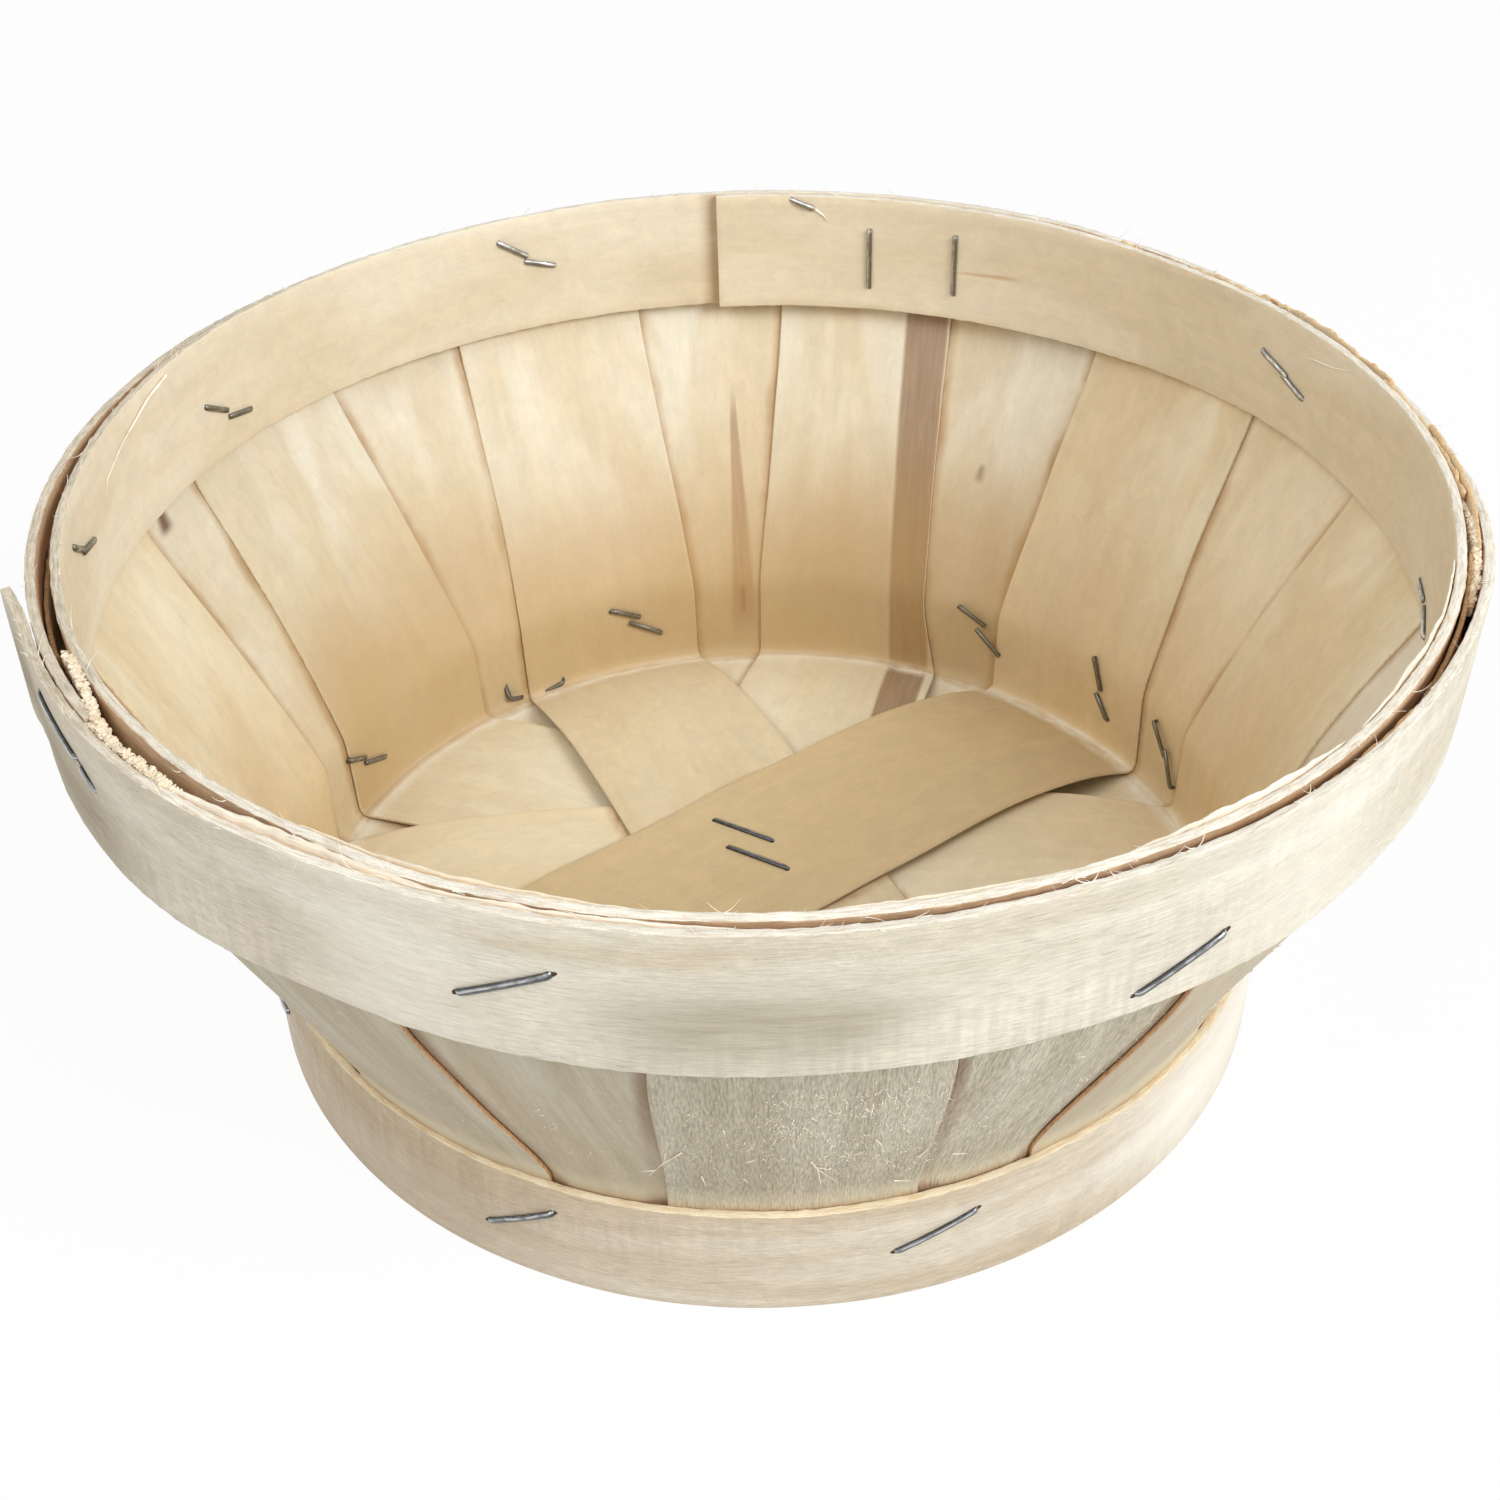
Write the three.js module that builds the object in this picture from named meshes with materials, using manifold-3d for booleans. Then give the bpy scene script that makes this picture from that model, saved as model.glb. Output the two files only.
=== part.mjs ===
// A round splint basket. Ten long thin wooden strips cross on the floor, bend up into
// twenty staves and are stapled between two hoops at the rim and inside one hoop at the base.
// Millimetres, +Z up, origin on the table at the middle of the base.

import * as THREE from 'three';
import { mergeVertices } from 'three/addons/utils/BufferGeometryUtils.js';
import Module from 'manifold-3d';

const wasm = await Module();
wasm.setup();

const radians = THREE.MathUtils.degToRad;
const smooth = THREE.MathUtils.smoothstep;

// Driving dimensions
const clearance = 0.3;          // gap kept between touching pieces
const rimRadius = 130;          // outside of the outer rim hoop
const basketHeight = 113.8;     // table to the top edge of the rim hoops
const rimHoopHeight = 25.5;
const rimHoopThickness = 1.8;
const innerHoopHeight = 25.5;
const innerHoopThickness = 1.8;
const baseRadius = 102.5;       // outside of the base hoop
const baseHoopHeight = 24;
const baseHoopThickness = 1.8;
const splintWidth = 45;
const splintThickness = 0.9;
const splintDrop = 2.6;         // highest stave ends below the rim's top edge
const splintStagger = 0.5;      // the stave ends differ in height by steps of this
const floorLift = 2.4;          // underside of the floor above the table
const foldRadius = 8;           // outside radius of the bend from floor to wall
const straightAboveBase = 0.3;  // the wall stays upright this far above the base hoop
const straightBelowRim = 0.3;   // and is upright again this far below the rim hoops
const flareEaseLow = 4;         // how softly the wall leans out at the base
const flareEaseHigh = 8;        // and how softly it straightens at the rim
const wireDiameter = 1.2;       // staple wire
const crownWidth = 16;          // staple crown
const clinchLength = 6.5;       // staple ends folded flat inside
const clinchTurn = radians(14); // the two folded ends pass beside each other
const legHoleSize = 1.7;        // square clearance hole for a staple leg

// The middle of the crossing is a little right of the basket's axis and behind it
const crossingRight = 1.5;
const crossingBehind = 9;
const domeCentre = new THREE.Vector2(crossingRight, crossingBehind);
const domeFlat = 0.42;          // share of the floor on which the stack lies flat
const domePower = 2.5;          // how the stack thins out from there to the fold

const layerPitch = splintThickness + clearance;

// Wall of the outermost staves, seen from the side: bend, upright, flare, upright at the rim
const staveBaseRadius = baseRadius - baseHoopThickness - clearance;
const staveRimRadius = rimRadius - rimHoopThickness - clearance;
const foldStart = staveBaseRadius - foldRadius;
const foldTop = floorLift + foldRadius;
const flareBottom = baseHoopHeight + straightAboveBase;
const flareTop = basketHeight - Math.max(rimHoopHeight, innerHoopHeight) - straightBelowRim;

const floorSteps = 7;           // from the middle of a strip to its bend
const laneCount = 4;            // across a strip
const hoopStep = radians(5);

const point2 = (r, z) => new THREE.Vector2(r, z);

const wallCurves = [
  [new THREE.EllipseCurve(foldStart, foldTop, foldRadius, foldRadius, -Math.PI / 2, 0, false), 3],
  [new THREE.LineCurve(point2(staveBaseRadius, foldTop), point2(staveBaseRadius, flareBottom)), 1],
  [new THREE.CubicBezierCurve(
    point2(staveBaseRadius, flareBottom),
    point2(staveBaseRadius, flareBottom + flareEaseLow),
    point2(staveRimRadius, flareTop - flareEaseHigh),
    point2(staveRimRadius, flareTop)), 7],
];

// Stations up the wall, each with its place and the direction towards the inside
function wallStations(top) {
  const rimBand = new THREE.LineCurve(point2(staveRimRadius, flareTop), point2(staveRimRadius, top));
  const stations = [];
  for (const [curve, steps] of [...wallCurves, [rimBand, 1]]) {
    for (let i = stations.length ? 1 : 0; i <= steps; i++) {
      const place = curve.getPoint(i / steps);
      const along = curve.getTangent(i / steps);
      stations.push({ place, inward: point2(-along.y, along.x), rise: place.y / top });
    }
  }
  return stations;
}

function polar(radius, angle, height) {
  return new THREE.Vector3(radius * Math.cos(angle), radius * Math.sin(angle), height);
}

// A closed solid through a row of rings with an even number of points.
// Each ring runs out along one side of the section and comes back along the other.
function loft(rings) {
  const count = rings[0].length;
  const last = (rings.length - 1) * count;
  const indices = [];
  for (let row = 0; row < last; row += count) {
    for (let i = 0; i < count; i++) {
      const a = row + i;
      const b = row + (i + 1) % count;
      indices.push(a, b, b + count, a, b + count, a + count);
    }
  }
  for (let i = 0; i < count / 2 - 1; i++) {
    const j = count - 1 - i;
    indices.push(i, j, j - 1, i, j - 1, i + 1);
    indices.push(last + i, last + i + 1, last + j - 1, last + i, last + j - 1, last + j);
  }
  const geometry = new THREE.BufferGeometry();
  const positions = rings.flat().flatMap((p) => [p.x, p.y, p.z]);
  geometry.setAttribute('position', new THREE.Float32BufferAttribute(positions, 3));
  geometry.setIndex(indices);
  return geometry;
}

function toSolid(geometry) {
  const bare = geometry.clone();
  bare.deleteAttribute('normal');
  bare.deleteAttribute('uv');
  const merged = mergeVertices(bare, 1e-5);
  return new wasm.Manifold(new wasm.Mesh({
    numProp: 3,
    vertProperties: new Float32Array(merged.attributes.position.array),
    triVerts: new Uint32Array(merged.index.array),
  }));
}

function toGeometry(solid) {
  const mesh = solid.getMesh();
  const geometry = new THREE.BufferGeometry();
  geometry.setAttribute('position', new THREE.Float32BufferAttribute(mesh.vertProperties, 3));
  geometry.setIndex([...mesh.triVerts]);
  return geometry;
}

// How much of the stack is left at a point of the floor: 1 in the middle, 0 at the bend
function stackShare(x, y) {
  const offset = new THREE.Vector2(x, y).sub(domeCentre);
  const distanceSquared = offset.lengthSq();
  if (distanceSquared < 1e-6) return 1;
  const across = domeCentre.dot(offset);
  const reach = distanceSquared * (foldStart ** 2 - domeCentre.lengthSq());
  const share = distanceSquared / (Math.sqrt(across ** 2 + reach) - across);
  return 1 - Math.max(0, (share - domeFlat) / (1 - domeFlat)) ** domePower;
}

// One long strip: up one wall, across the floor and up the other.
// An end has the angle where it bends, and the angle where it meets the rim.
function splintGeometry({ ends, layer, tier, drop }) {
  const stations = wallStations(basketHeight - drop);
  const [start, end] = ends.map(({ bend, rim }) => ({ bend: radians(bend), rim: radians(rim) }));
  const from = polar(foldStart, start.bend, 0);
  const to = polar(foldStart, end.bend, 0);
  const along = to.clone().sub(from).normalize();
  const left = new THREE.Vector3(0, 0, 1).cross(along);
  const axisOffset = from.dot(left);
  const lanes = [];
  for (let i = 0; i <= laneCount; i++) lanes.push(splintWidth * (i / laneCount - 0.5));

  // A point of the floor, from -1 at the start's bend to 1 at the end's bend
  function floorPoint(lane, share, lift) {
    const offset = axisOffset + lane;
    const p = left.clone().multiplyScalar(offset);
    p.addScaledVector(along, share * Math.sqrt(foldStart ** 2 - offset ** 2));
    const stack = stackShare(p.x, p.y);
    p.z = floorLift + layerPitch * (layer * stack + tier * (1 - stack)) + lift;
    return p;
  }

  // A point of the wall; side is -1 on the start's wall and 1 on the end's
  function wallPoint(lane, side, station, lift) {
    const { place, inward, rise } = station;
    const depth = tier * layerPitch + lift;
    const radius = place.x + inward.x * depth;
    const { bend, rim } = side < 0 ? start : end;
    const upright = bend + (rim - bend) * rise + side * Math.asin(lane / radius);
    const foot = floorPoint(lane, side, 0);
    const onFloor = Math.atan2(foot.y, foot.x);
    const turn = Math.atan2(Math.sin(upright - onFloor), Math.cos(upright - onFloor));
    const folded = Math.min(1, (place.x - foldStart) / foldRadius);
    return polar(radius, onFloor + turn * folded, place.y + inward.y * depth);
  }

  function ring(pointAt) {
    const under = lanes.map((lane) => pointAt(lane, 0));
    const over = lanes.map((lane) => pointAt(lane, splintThickness));
    return [...under, ...over.reverse()];
  }

  const rings = [];
  for (const station of stations.slice(1).reverse()) {
    rings.push(ring((lane, lift) => wallPoint(lane, -1, station, lift)));
  }
  for (let i = -floorSteps; i <= floorSteps; i++) {
    rings.push(ring((lane, lift) => floorPoint(lane, i / floorSteps, lift)));
  }
  for (const station of stations.slice(1)) {
    rings.push(ring((lane, lift) => wallPoint(lane, 1, station, lift)));
  }
  return loft(rings);
}

// A thin hoop bent past a full turn, so that its first part laps its last.
// Angles in degrees; the lap steps away from the hoop by its thickness and a clearance.
function makeHoop({ radius, thickness, bottom, height, start, turn, outward, lap, ease, spring }) {
  const step = outward * (thickness + clearance);
  const springSpan = 10;
  const lapMargin = 2; // past the lap before the hoop eases back
  const sweep = 360 + lap;
  const eased = lap + lapMargin;

  // Outside radius of the hoop, this many degrees along it from its free end
  function faceRadius(travelled) {
    const lapped = 1 - smooth(travelled, eased, eased + ease);
    const sprung = Math.max(0, 1 - travelled / springSpan) ** 2;
    return radius + step * lapped + outward * spring * sprung;
  }

  const count = Math.round(radians(sweep) / hoopStep);
  const rings = [];
  for (let i = 0; i <= count; i++) {
    const travelled = (sweep * i) / count;
    const angle = radians(start + turn * travelled);
    const outer = faceRadius(travelled);
    rings.push([
      polar(outer - thickness, angle, bottom),
      polar(outer - thickness, angle, bottom + height),
      polar(outer, angle, bottom + height),
      polar(outer, angle, bottom),
    ]);
  }
  if (turn < 0) rings.reverse();

  // The face furthest outward or inward at an angle, counting the lap
  function faceAt(angle) {
    const travelled = ((turn * (angle - start)) % 360 + 360) % 360;
    const lapFace = faceRadius(travelled);
    return outward > 0 ? Math.max(lapFace, radius) : Math.min(lapFace, radius) - thickness;
  }
  return { geometry: loft(rings), faceAt };
}

// Round wire through a few points, with mitred corners
function wireGeometry(points) {
  const sides = 6;
  const rings = points.map((point, i) => {
    const before = i > 0 ? point.clone().sub(points[i - 1]).normalize() : null;
    const after = i < points.length - 1 ? points[i + 1].clone().sub(point).normalize() : null;
    const along = before ?? after;
    const mitre = (before ?? after).clone().add(after ?? before).normalize();
    return { point, along, mitre };
  });
  const first = rings[0].along;
  let side = new THREE.Vector3(0, 0, 1).cross(first);
  if (side.length() < 0.1) side = new THREE.Vector3(1, 0, 0).cross(first);
  side.normalize();
  let previous = first.clone();
  return loft(rings.map(({ point, along, mitre }) => {
    side.applyQuaternion(new THREE.Quaternion().setFromUnitVectors(previous, along));
    previous = along.clone();
    const up = along.clone().cross(side);
    return Array.from({ length: sides }, (_, i) => {
      const angle = (i * 2 * Math.PI) / sides;
      const spoke = side.clone().multiplyScalar(Math.cos(angle) * wireDiameter / 2);
      spoke.addScaledVector(up, Math.sin(angle) * wireDiameter / 2);
      // Slide the point along the wire onto the mitre plane
      spoke.addScaledVector(along, -spoke.dot(mitre) / along.dot(mitre));
      return spoke.add(point);
    });
  }));
}

// A square hole for one leg, cut a little past both ends
function legHole(from, to) {
  const along = to.clone().sub(from).normalize();
  const side = new THREE.Vector3(0, 0, 1).cross(along);
  if (side.length() < 0.1) side.set(1, 0, 0);
  side.normalize().multiplyScalar(legHoleSize / 2);
  const up = along.clone().cross(side);
  const past = along.clone().multiplyScalar(clearance);
  const ends = [from.clone().sub(past), to.clone().add(past)];
  return toSolid(loft(ends.map((end) => [
    end.clone().sub(side).sub(up),
    end.clone().add(side).sub(up),
    end.clone().add(side).add(up),
    end.clone().sub(side).add(up),
  ])));
}

// A staple through the wall: crown on one side, ends folded flat on the other.
// faceOut and faceIn give the radius of the wood at an angle, in degrees.
function wallStaple({ at, height, tilt, faceOut, faceIn, crownInside = false, clinched = true }) {
  const stand = clearance + wireDiameter / 2;
  const outer = (angle) => faceOut(THREE.MathUtils.radToDeg(angle)) + stand;
  const inner = (angle) => faceIn(THREE.MathUtils.radToDeg(angle)) - stand;
  const crownFace = crownInside ? inner : outer;
  const clinchFace = crownInside ? outer : inner;
  const lean = radians(tilt);
  const middle = radians(at);
  const reference = crownFace(middle);

  // A point this far from the staple's middle along a direction on the wall
  function onWall(face, distance, direction) {
    const angle = middle + (distance * Math.cos(direction)) / reference;
    return polar(face(angle), angle, height + distance * Math.sin(direction));
  }
  function folded(side) {
    const leg = onWall(clinchFace, side * crownWidth / 2, lean);
    const angle = Math.atan2(leg.y, leg.x);
    const direction = lean + clinchTurn + (side > 0 ? Math.PI : 0);
    const swing = angle + (clinchLength * Math.cos(direction)) / clinchFace(angle);
    return polar(clinchFace(swing), swing, leg.z + clinchLength * Math.sin(direction));
  }
  const legs = [-1, 1].map((side) => [
    onWall(clinchFace, side * crownWidth / 2, lean),
    onWall(crownFace, side * crownWidth / 2, lean),
  ]);
  const points = [legs[0][0], legs[0][1], onWall(crownFace, 0, lean), legs[1][1], legs[1][0]];
  if (clinched) {
    points.unshift(folded(-1));
    points.push(folded(1));
  }
  return { geometry: wireGeometry(points), legs };
}

// A staple down through the crossing strips: crown on top, ends folded underneath
function floorStaple({ from, to }, topLayer) {
  const stand = clearance + wireDiameter / 2;
  const crownHeight = floorLift + topLayer * layerPitch + splintThickness + stand;
  const clinchHeight = floorLift - stand;
  const across = new THREE.Vector3(to[0] - from[0], to[1] - from[1], 0).normalize();
  const legs = [from, to].map(([x, y]) => [
    new THREE.Vector3(x, y, clinchHeight),
    new THREE.Vector3(x, y, crownHeight),
  ]);
  const folded = [1, -1].map((side, i) => {
    const direction = across.clone().multiplyScalar(side * clinchLength);
    return legs[i][0].clone().add(direction.applyAxisAngle(new THREE.Vector3(0, 0, 1), clinchTurn));
  });
  const points = [folded[0], legs[0][0], legs[0][1], legs[1][1], legs[1][0], folded[1]];
  return { geometry: wireGeometry(points), legs };
}

// The strips, from the lowest on the floor to the topmost. The first five lie outside on the wall.
const splints = [
  { name: 'splint_outer_1', ends: [{ bend: 194.3, rim: 194.3 }, { bend: 23.7, rim: 21.3 }] },
  { name: 'splint_outer_2', ends: [{ bend: 309.7, rim: 310 }, { bend: 126, rim: 131 }] },
  { name: 'splint_outer_3', ends: [{ bend: 234.4, rim: 234 }, { bend: 57.3, rim: 57.3 }] },
  { name: 'splint_outer_4', ends: [{ bend: 353.3, rim: 353.3 }, { bend: 162.7, rim: 162.7 }] },
  { name: 'splint_outer_5', ends: [{ bend: 272, rim: 272 }, { bend: 91, rim: 93 }] },
  { name: 'splint_inner_1', ends: [{ bend: 333, rim: 333 }, { bend: 145, rim: 149 }] },
  { name: 'splint_inner_2', ends: [{ bend: 255, rim: 253 }, { bend: 76, rim: 75.7 }] },
  { name: 'splint_inner_3', ends: [{ bend: 178, rim: 178 }, { bend: 5, rim: 1.9 }] },
  { name: 'splint_inner_4', ends: [{ bend: 294, rim: 292.4 }, { bend: 111.5, rim: 112.3 }] },
  { name: 'splint_inner_5', ends: [{ bend: 213.3, rim: 213.3 }, { bend: 40.7, rim: 39.9 }] },
];
const tierSize = splints.length / 2;

const rimHoop = makeHoop({
  radius: rimRadius, thickness: rimHoopThickness,
  bottom: basketHeight - rimHoopHeight, height: rimHoopHeight,
  start: 196.5, turn: 1, outward: 1, lap: 19.5, ease: 26, spring: 1.9,
});
const innerHoop = makeHoop({
  radius: staveRimRadius - 2 * layerPitch, thickness: innerHoopThickness,
  bottom: basketHeight - innerHoopHeight, height: innerHoopHeight,
  start: 93, turn: -1, outward: -1, lap: 35, ease: 24, spring: 0,
});
const baseHoop = makeHoop({
  radius: baseRadius, thickness: baseHoopThickness,
  bottom: 0, height: baseHoopHeight,
  start: 20, turn: 1, outward: 1, lap: 38, ease: 26, spring: 0,
});

const insideOfBase = () => staveBaseRadius - layerPitch - splintThickness;
const rimFaces = { faceOut: rimHoop.faceAt, faceIn: innerHoop.faceAt };
const baseFaces = { faceOut: baseHoop.faceAt, faceIn: insideOfBase };

// Staples: angle round the basket, height of the crown's middle below the rim's top edge,
// and how far the crown leans from level
const rimStaples = [
  { at: 26, below: 12.8, tilt: 25 },
  { at: 85.5, below: 5, tilt: 8 },
  { at: 113.7, below: 7.8, tilt: 33 },
  { at: 152.6, below: 16.2, tilt: 30 },
  { at: 182.5, below: 11.4, tilt: 30 },
  { at: 212, below: 5.9, tilt: -13 },
  { at: 219, below: 12.3, tilt: -29 },
  { at: 253.4, below: 12.6, tilt: 25 },
  { at: 297, below: 19.9, tilt: 21 },
  { at: 349, below: 21.8, tilt: 25 },
];

// Staples in the inner hoop's lap, crown inside and upright, height above its lower edge
const lapStaples = [
  { at: 76.2, above: 11.6 },
  { at: 66.6, above: 12.2 },
];

// Base staples, heights above the table
const baseStaples = [
  { at: 23.5, height: 12, tilt: 48 },
  { at: 36.5, height: 16.5, tilt: 50 },
  { at: 57, height: 14.5, tilt: 43 },
  { at: 107, height: 13.5, tilt: 39 },
  { at: 124, height: 12.5, tilt: 20 },
  { at: 153.6, height: 13.5, tilt: 34 },
  { at: 200, height: 13.5, tilt: 28 },
  { at: 244, height: 14, tilt: 31 },
  { at: 286, height: 15, tilt: 21 },
  { at: 347, height: 13.5, tilt: 26 },
];

// Two staples hold the middle of the floor; x and y of each leg
const floorStaples = [
  { from: [-10.5, 18.5], to: [2.5, 10.5] },
  { from: [-7.5, 9], to: [5.5, 1] },
];

const number = (i) => String(i + 1).padStart(2, '0');

const staples = [
  ...rimStaples.map(({ below, ...staple }, i) => ({
    name: `rim_staple_${number(i)}`,
    ...wallStaple({ ...staple, ...rimFaces, height: basketHeight - below }),
  })),
  ...lapStaples.map(({ at, above }, i) => ({
    name: `inner_hoop_staple_${number(i)}`,
    ...wallStaple({
      at, tilt: 90, height: basketHeight - innerHoopHeight + above,
      faceIn: innerHoop.faceAt, faceOut: () => staveRimRadius - layerPitch,
      crownInside: true, clinched: false,
    }),
  })),
  ...baseStaples.map((staple, i) => ({
    name: `base_staple_${number(i)}`,
    ...wallStaple({ ...staple, ...baseFaces }),
  })),
  ...floorStaples.map((staple, i) => ({
    name: `floor_staple_${number(i)}`,
    ...floorStaple(staple, splints.length - 1),
  })),
];

const legHoles = staples.flatMap(({ legs }) => legs.map(([from, to]) => legHole(from, to)));

function drilled(geometry) {
  return toGeometry(legHoles.reduce((wood, hole) => wood.subtract(hole), toSolid(geometry)));
}

const wood = (color) => new THREE.MeshStandardMaterial({ color, roughness: 0.85, metalness: 0 });
const finishes = {
  outerSplint: wood('#d2b68c'),
  innerSplint: wood('#e3cc9f'),
  hoop: wood('#d8c9b3'),
  staple: new THREE.MeshStandardMaterial({ color: '#4c5258', roughness: 0.4, metalness: 0.9 }),
};

const basket = new THREE.Group();

function addPiece(name, geometry, material) {
  geometry.computeVertexNormals();
  const mesh = new THREE.Mesh(geometry, material);
  mesh.name = name;
  basket.add(mesh);
}

splints.forEach(({ name, ends }, layer) => {
  const tier = layer < tierSize ? 0 : 1;
  const drop = splintDrop + splintStagger * (layer % 3);
  const geometry = splintGeometry({ ends, layer, tier, drop });
  addPiece(name, drilled(geometry), tier ? finishes.innerSplint : finishes.outerSplint);
});
addPiece('rim_hoop_outer', drilled(rimHoop.geometry), finishes.hoop);
addPiece('rim_hoop_inner', drilled(innerHoop.geometry), finishes.hoop);
addPiece('base_hoop', drilled(baseHoop.geometry), finishes.hoop);
for (const { name, geometry } of staples) addPiece(name, geometry, finishes.staple);

export default basket;
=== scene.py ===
# Dresses the splint basket: peeled wood strips, rough hoops, steel staples and loose fibres
import bisect
import math
import random
import bpy
from mathutils import Matrix, Vector, kdtree, noise


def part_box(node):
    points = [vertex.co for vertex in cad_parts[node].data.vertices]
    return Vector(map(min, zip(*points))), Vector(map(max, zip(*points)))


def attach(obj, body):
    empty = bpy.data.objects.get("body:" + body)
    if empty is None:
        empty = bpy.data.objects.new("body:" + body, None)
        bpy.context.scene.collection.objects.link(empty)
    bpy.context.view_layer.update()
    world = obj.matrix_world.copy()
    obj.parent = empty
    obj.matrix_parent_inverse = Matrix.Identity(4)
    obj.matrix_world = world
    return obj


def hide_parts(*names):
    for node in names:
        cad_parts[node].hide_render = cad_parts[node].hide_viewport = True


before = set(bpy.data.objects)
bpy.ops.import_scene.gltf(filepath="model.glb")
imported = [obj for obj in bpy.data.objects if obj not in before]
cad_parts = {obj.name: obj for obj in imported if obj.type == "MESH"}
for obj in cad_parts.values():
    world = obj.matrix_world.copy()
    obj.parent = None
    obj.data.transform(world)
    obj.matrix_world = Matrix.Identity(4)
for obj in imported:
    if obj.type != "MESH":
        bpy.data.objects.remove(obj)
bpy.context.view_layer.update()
mm = 0.001
# Noise vectors would otherwise start from the clock
noiseSeed = 7
noise.seed_set(noiseSeed)
bpy.ops.object.select_all(action="DESELECT")

# Sizes from the frame, and the few that the frame doesn't give
rimLow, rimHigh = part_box("rim_hoop_outer")
innerLow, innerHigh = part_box("rim_hoop_inner")
baseLow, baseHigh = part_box("base_hoop")
basket = {
    "height": rimHigh.z,
    "rimRadius": rimHigh.x,
    "baseRadius": (baseHigh.y - baseLow.y) / 2,
    "hoopThickness": 1.8 * mm,
    "clearance": 0.3 * mm,
    "splintWidth": 45 * mm,
    "splintThickness": 0.9 * mm,
    "floorLift": 2.4 * mm,
    "foldRadius": 3.5 * mm,
    "flareEaseLow": 4 * mm,
    "flareEaseHigh": 8 * mm,
    "straightAboveBase": 0.3 * mm,
    "straightBelowRim": 0.3 * mm,
    "crossing": Vector((1.5 * mm, 9 * mm)),
    "stackFlat": 0.42,
    "stackPower": 2.5,
}
layerPitch = basket["splintThickness"] + basket["clearance"]
staveBase = basket["baseRadius"] - basket["hoopThickness"] - basket["clearance"]
staveRim = basket["rimRadius"] - basket["hoopThickness"] - basket["clearance"]
foldStart = staveBase - basket["foldRadius"]
foldTop = basket["floorLift"] + basket["foldRadius"]
flareBottom = baseHigh.z + basket["straightAboveBase"]
flareTop = rimLow.z - basket["straightBelowRim"]


def smoothStep(value, low, high):
    share = min(1, max(0, (value - low) / (high - low)))
    return share * share * (3 - 2 * share)


# Rises from 0 to 1 between the first two places and falls back between the last two
def hump(value, start, full, falling, gone):
    return smoothStep(value, start, full) * (1 - smoothStep(value, falling, gone))


def polar(radius, angle, height):
    return Vector((radius * math.cos(angle), radius * math.sin(angle), height))


def wobble(x, y=0.0, z=0.0):
    return noise.noise(Vector((x, y, z)))


# A value that changes smoothly round the basket, from a table of angles in degrees
def aroundTable(table, angle):
    degrees = math.degrees(angle) % 360
    stops = sorted(table)
    after = bisect.bisect_right(stops, degrees) % len(stops)
    low, high = stops[after - 1], stops[after]
    share = ((degrees - low) % 360) / ((high - low) % 360)
    share = (1 - math.cos(math.pi * share)) / 2
    return table[low] + (table[high] - table[low]) * share


# The rim isn't quite round: outward swell in millimetres, from the shoulder up
rimSwell = {0: 1.1, 20: 0.2, 40: -0.5, 70: -0.2, 90: 0, 120: 0, 150: 0.3, 180: -0.1, 200: -0.3, 220: -0.5,
            235: -0.5, 250: 0.3, 270: 0.8, 290: 1.2, 310: 1.8, 335: 2.1, 350: 1.8}
# And how far its top edge leans back in
rimLean = {0: 1.2, 25: 0.5, 50: 0, 90: 0, 180: 0, 270: 0, 300: 0.5, 330: 1.1, 345: 1.3}
# How far the hoops' top edges close on each other, as a share
rimPinch = {0: 0.1, 30: 0, 60: 0.2, 90: 0.4, 120: 0.5, 150: 0.6, 180: 0.45, 200: 0.15, 215: 0, 235: 0.2,
            250: 0.9, 262: 1, 285: 1, 305: 0.8, 325: 0.3, 345: 0}
# The wall between the hoops leans out less at the sides and the back: how much, in millimetres
wallSag = {0: 4.0, 25: 2.4, 60: 2, 120: 2, 160: 2.2, 180: 2.0, 195: 1.6, 225: 0.3, 240: 0, 300: 0,
           320: 1.6, 340: 4.2}
# And the rim hoops' lower edges lean in, at the right
rimTaper = {0: 1.6, 30: 0.4, 60: 0, 270: 0, 298: 0.5, 322: 1.8, 345: 2.2}
# The rim isn't level all round either: how far each top edge sits above or below, in millimetres
innerTop = {0: 0, 35: 0, 60: 1.2, 75: 1.4, 120: 1.4, 150: 1.2, 168: 0.6, 185: 0, 300: 0}
outerTop = {0: -3.0, 13: -3.2, 30: -2.2, 45: -1.2, 62: -0.4, 135: -0.4, 155: -0.3, 175: -0.2, 190: 0, 270: 0,
            338: 0, 346: -0.6, 353: -1.9}
stripTop = {0: 0, 30: 0, 62: -0.3, 135: -0.3, 155: -0.2, 175: 0, 270: 0}
# The base hoop's top edge is pressed against the wall, in millimetres
basePinch = {90: 0, 200: 0, 213: 0.7, 235: 0.7, 250: 0.4, 262: 0.2, 290: 0.2, 300: 0.4, 309: 0.7, 330: 0.7,
             345: 0}
# And the outer hoop's lower edge reaches a little lower at the front
outerFoot = {0: 0, 170: 0, 200: -0.9, 225: -0.9, 240: -0.6, 262: -0.9, 290: -0.9, 315: -0.4, 335: 0}
# Where the wood settles: beyond this radius, and between these heights
settling = {"beyond": 60 * mm, "swellFrom": 30 * mm, "sagFrom": 25 * mm, "sagTo": 89 * mm, "sagPower": 1.2}


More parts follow.
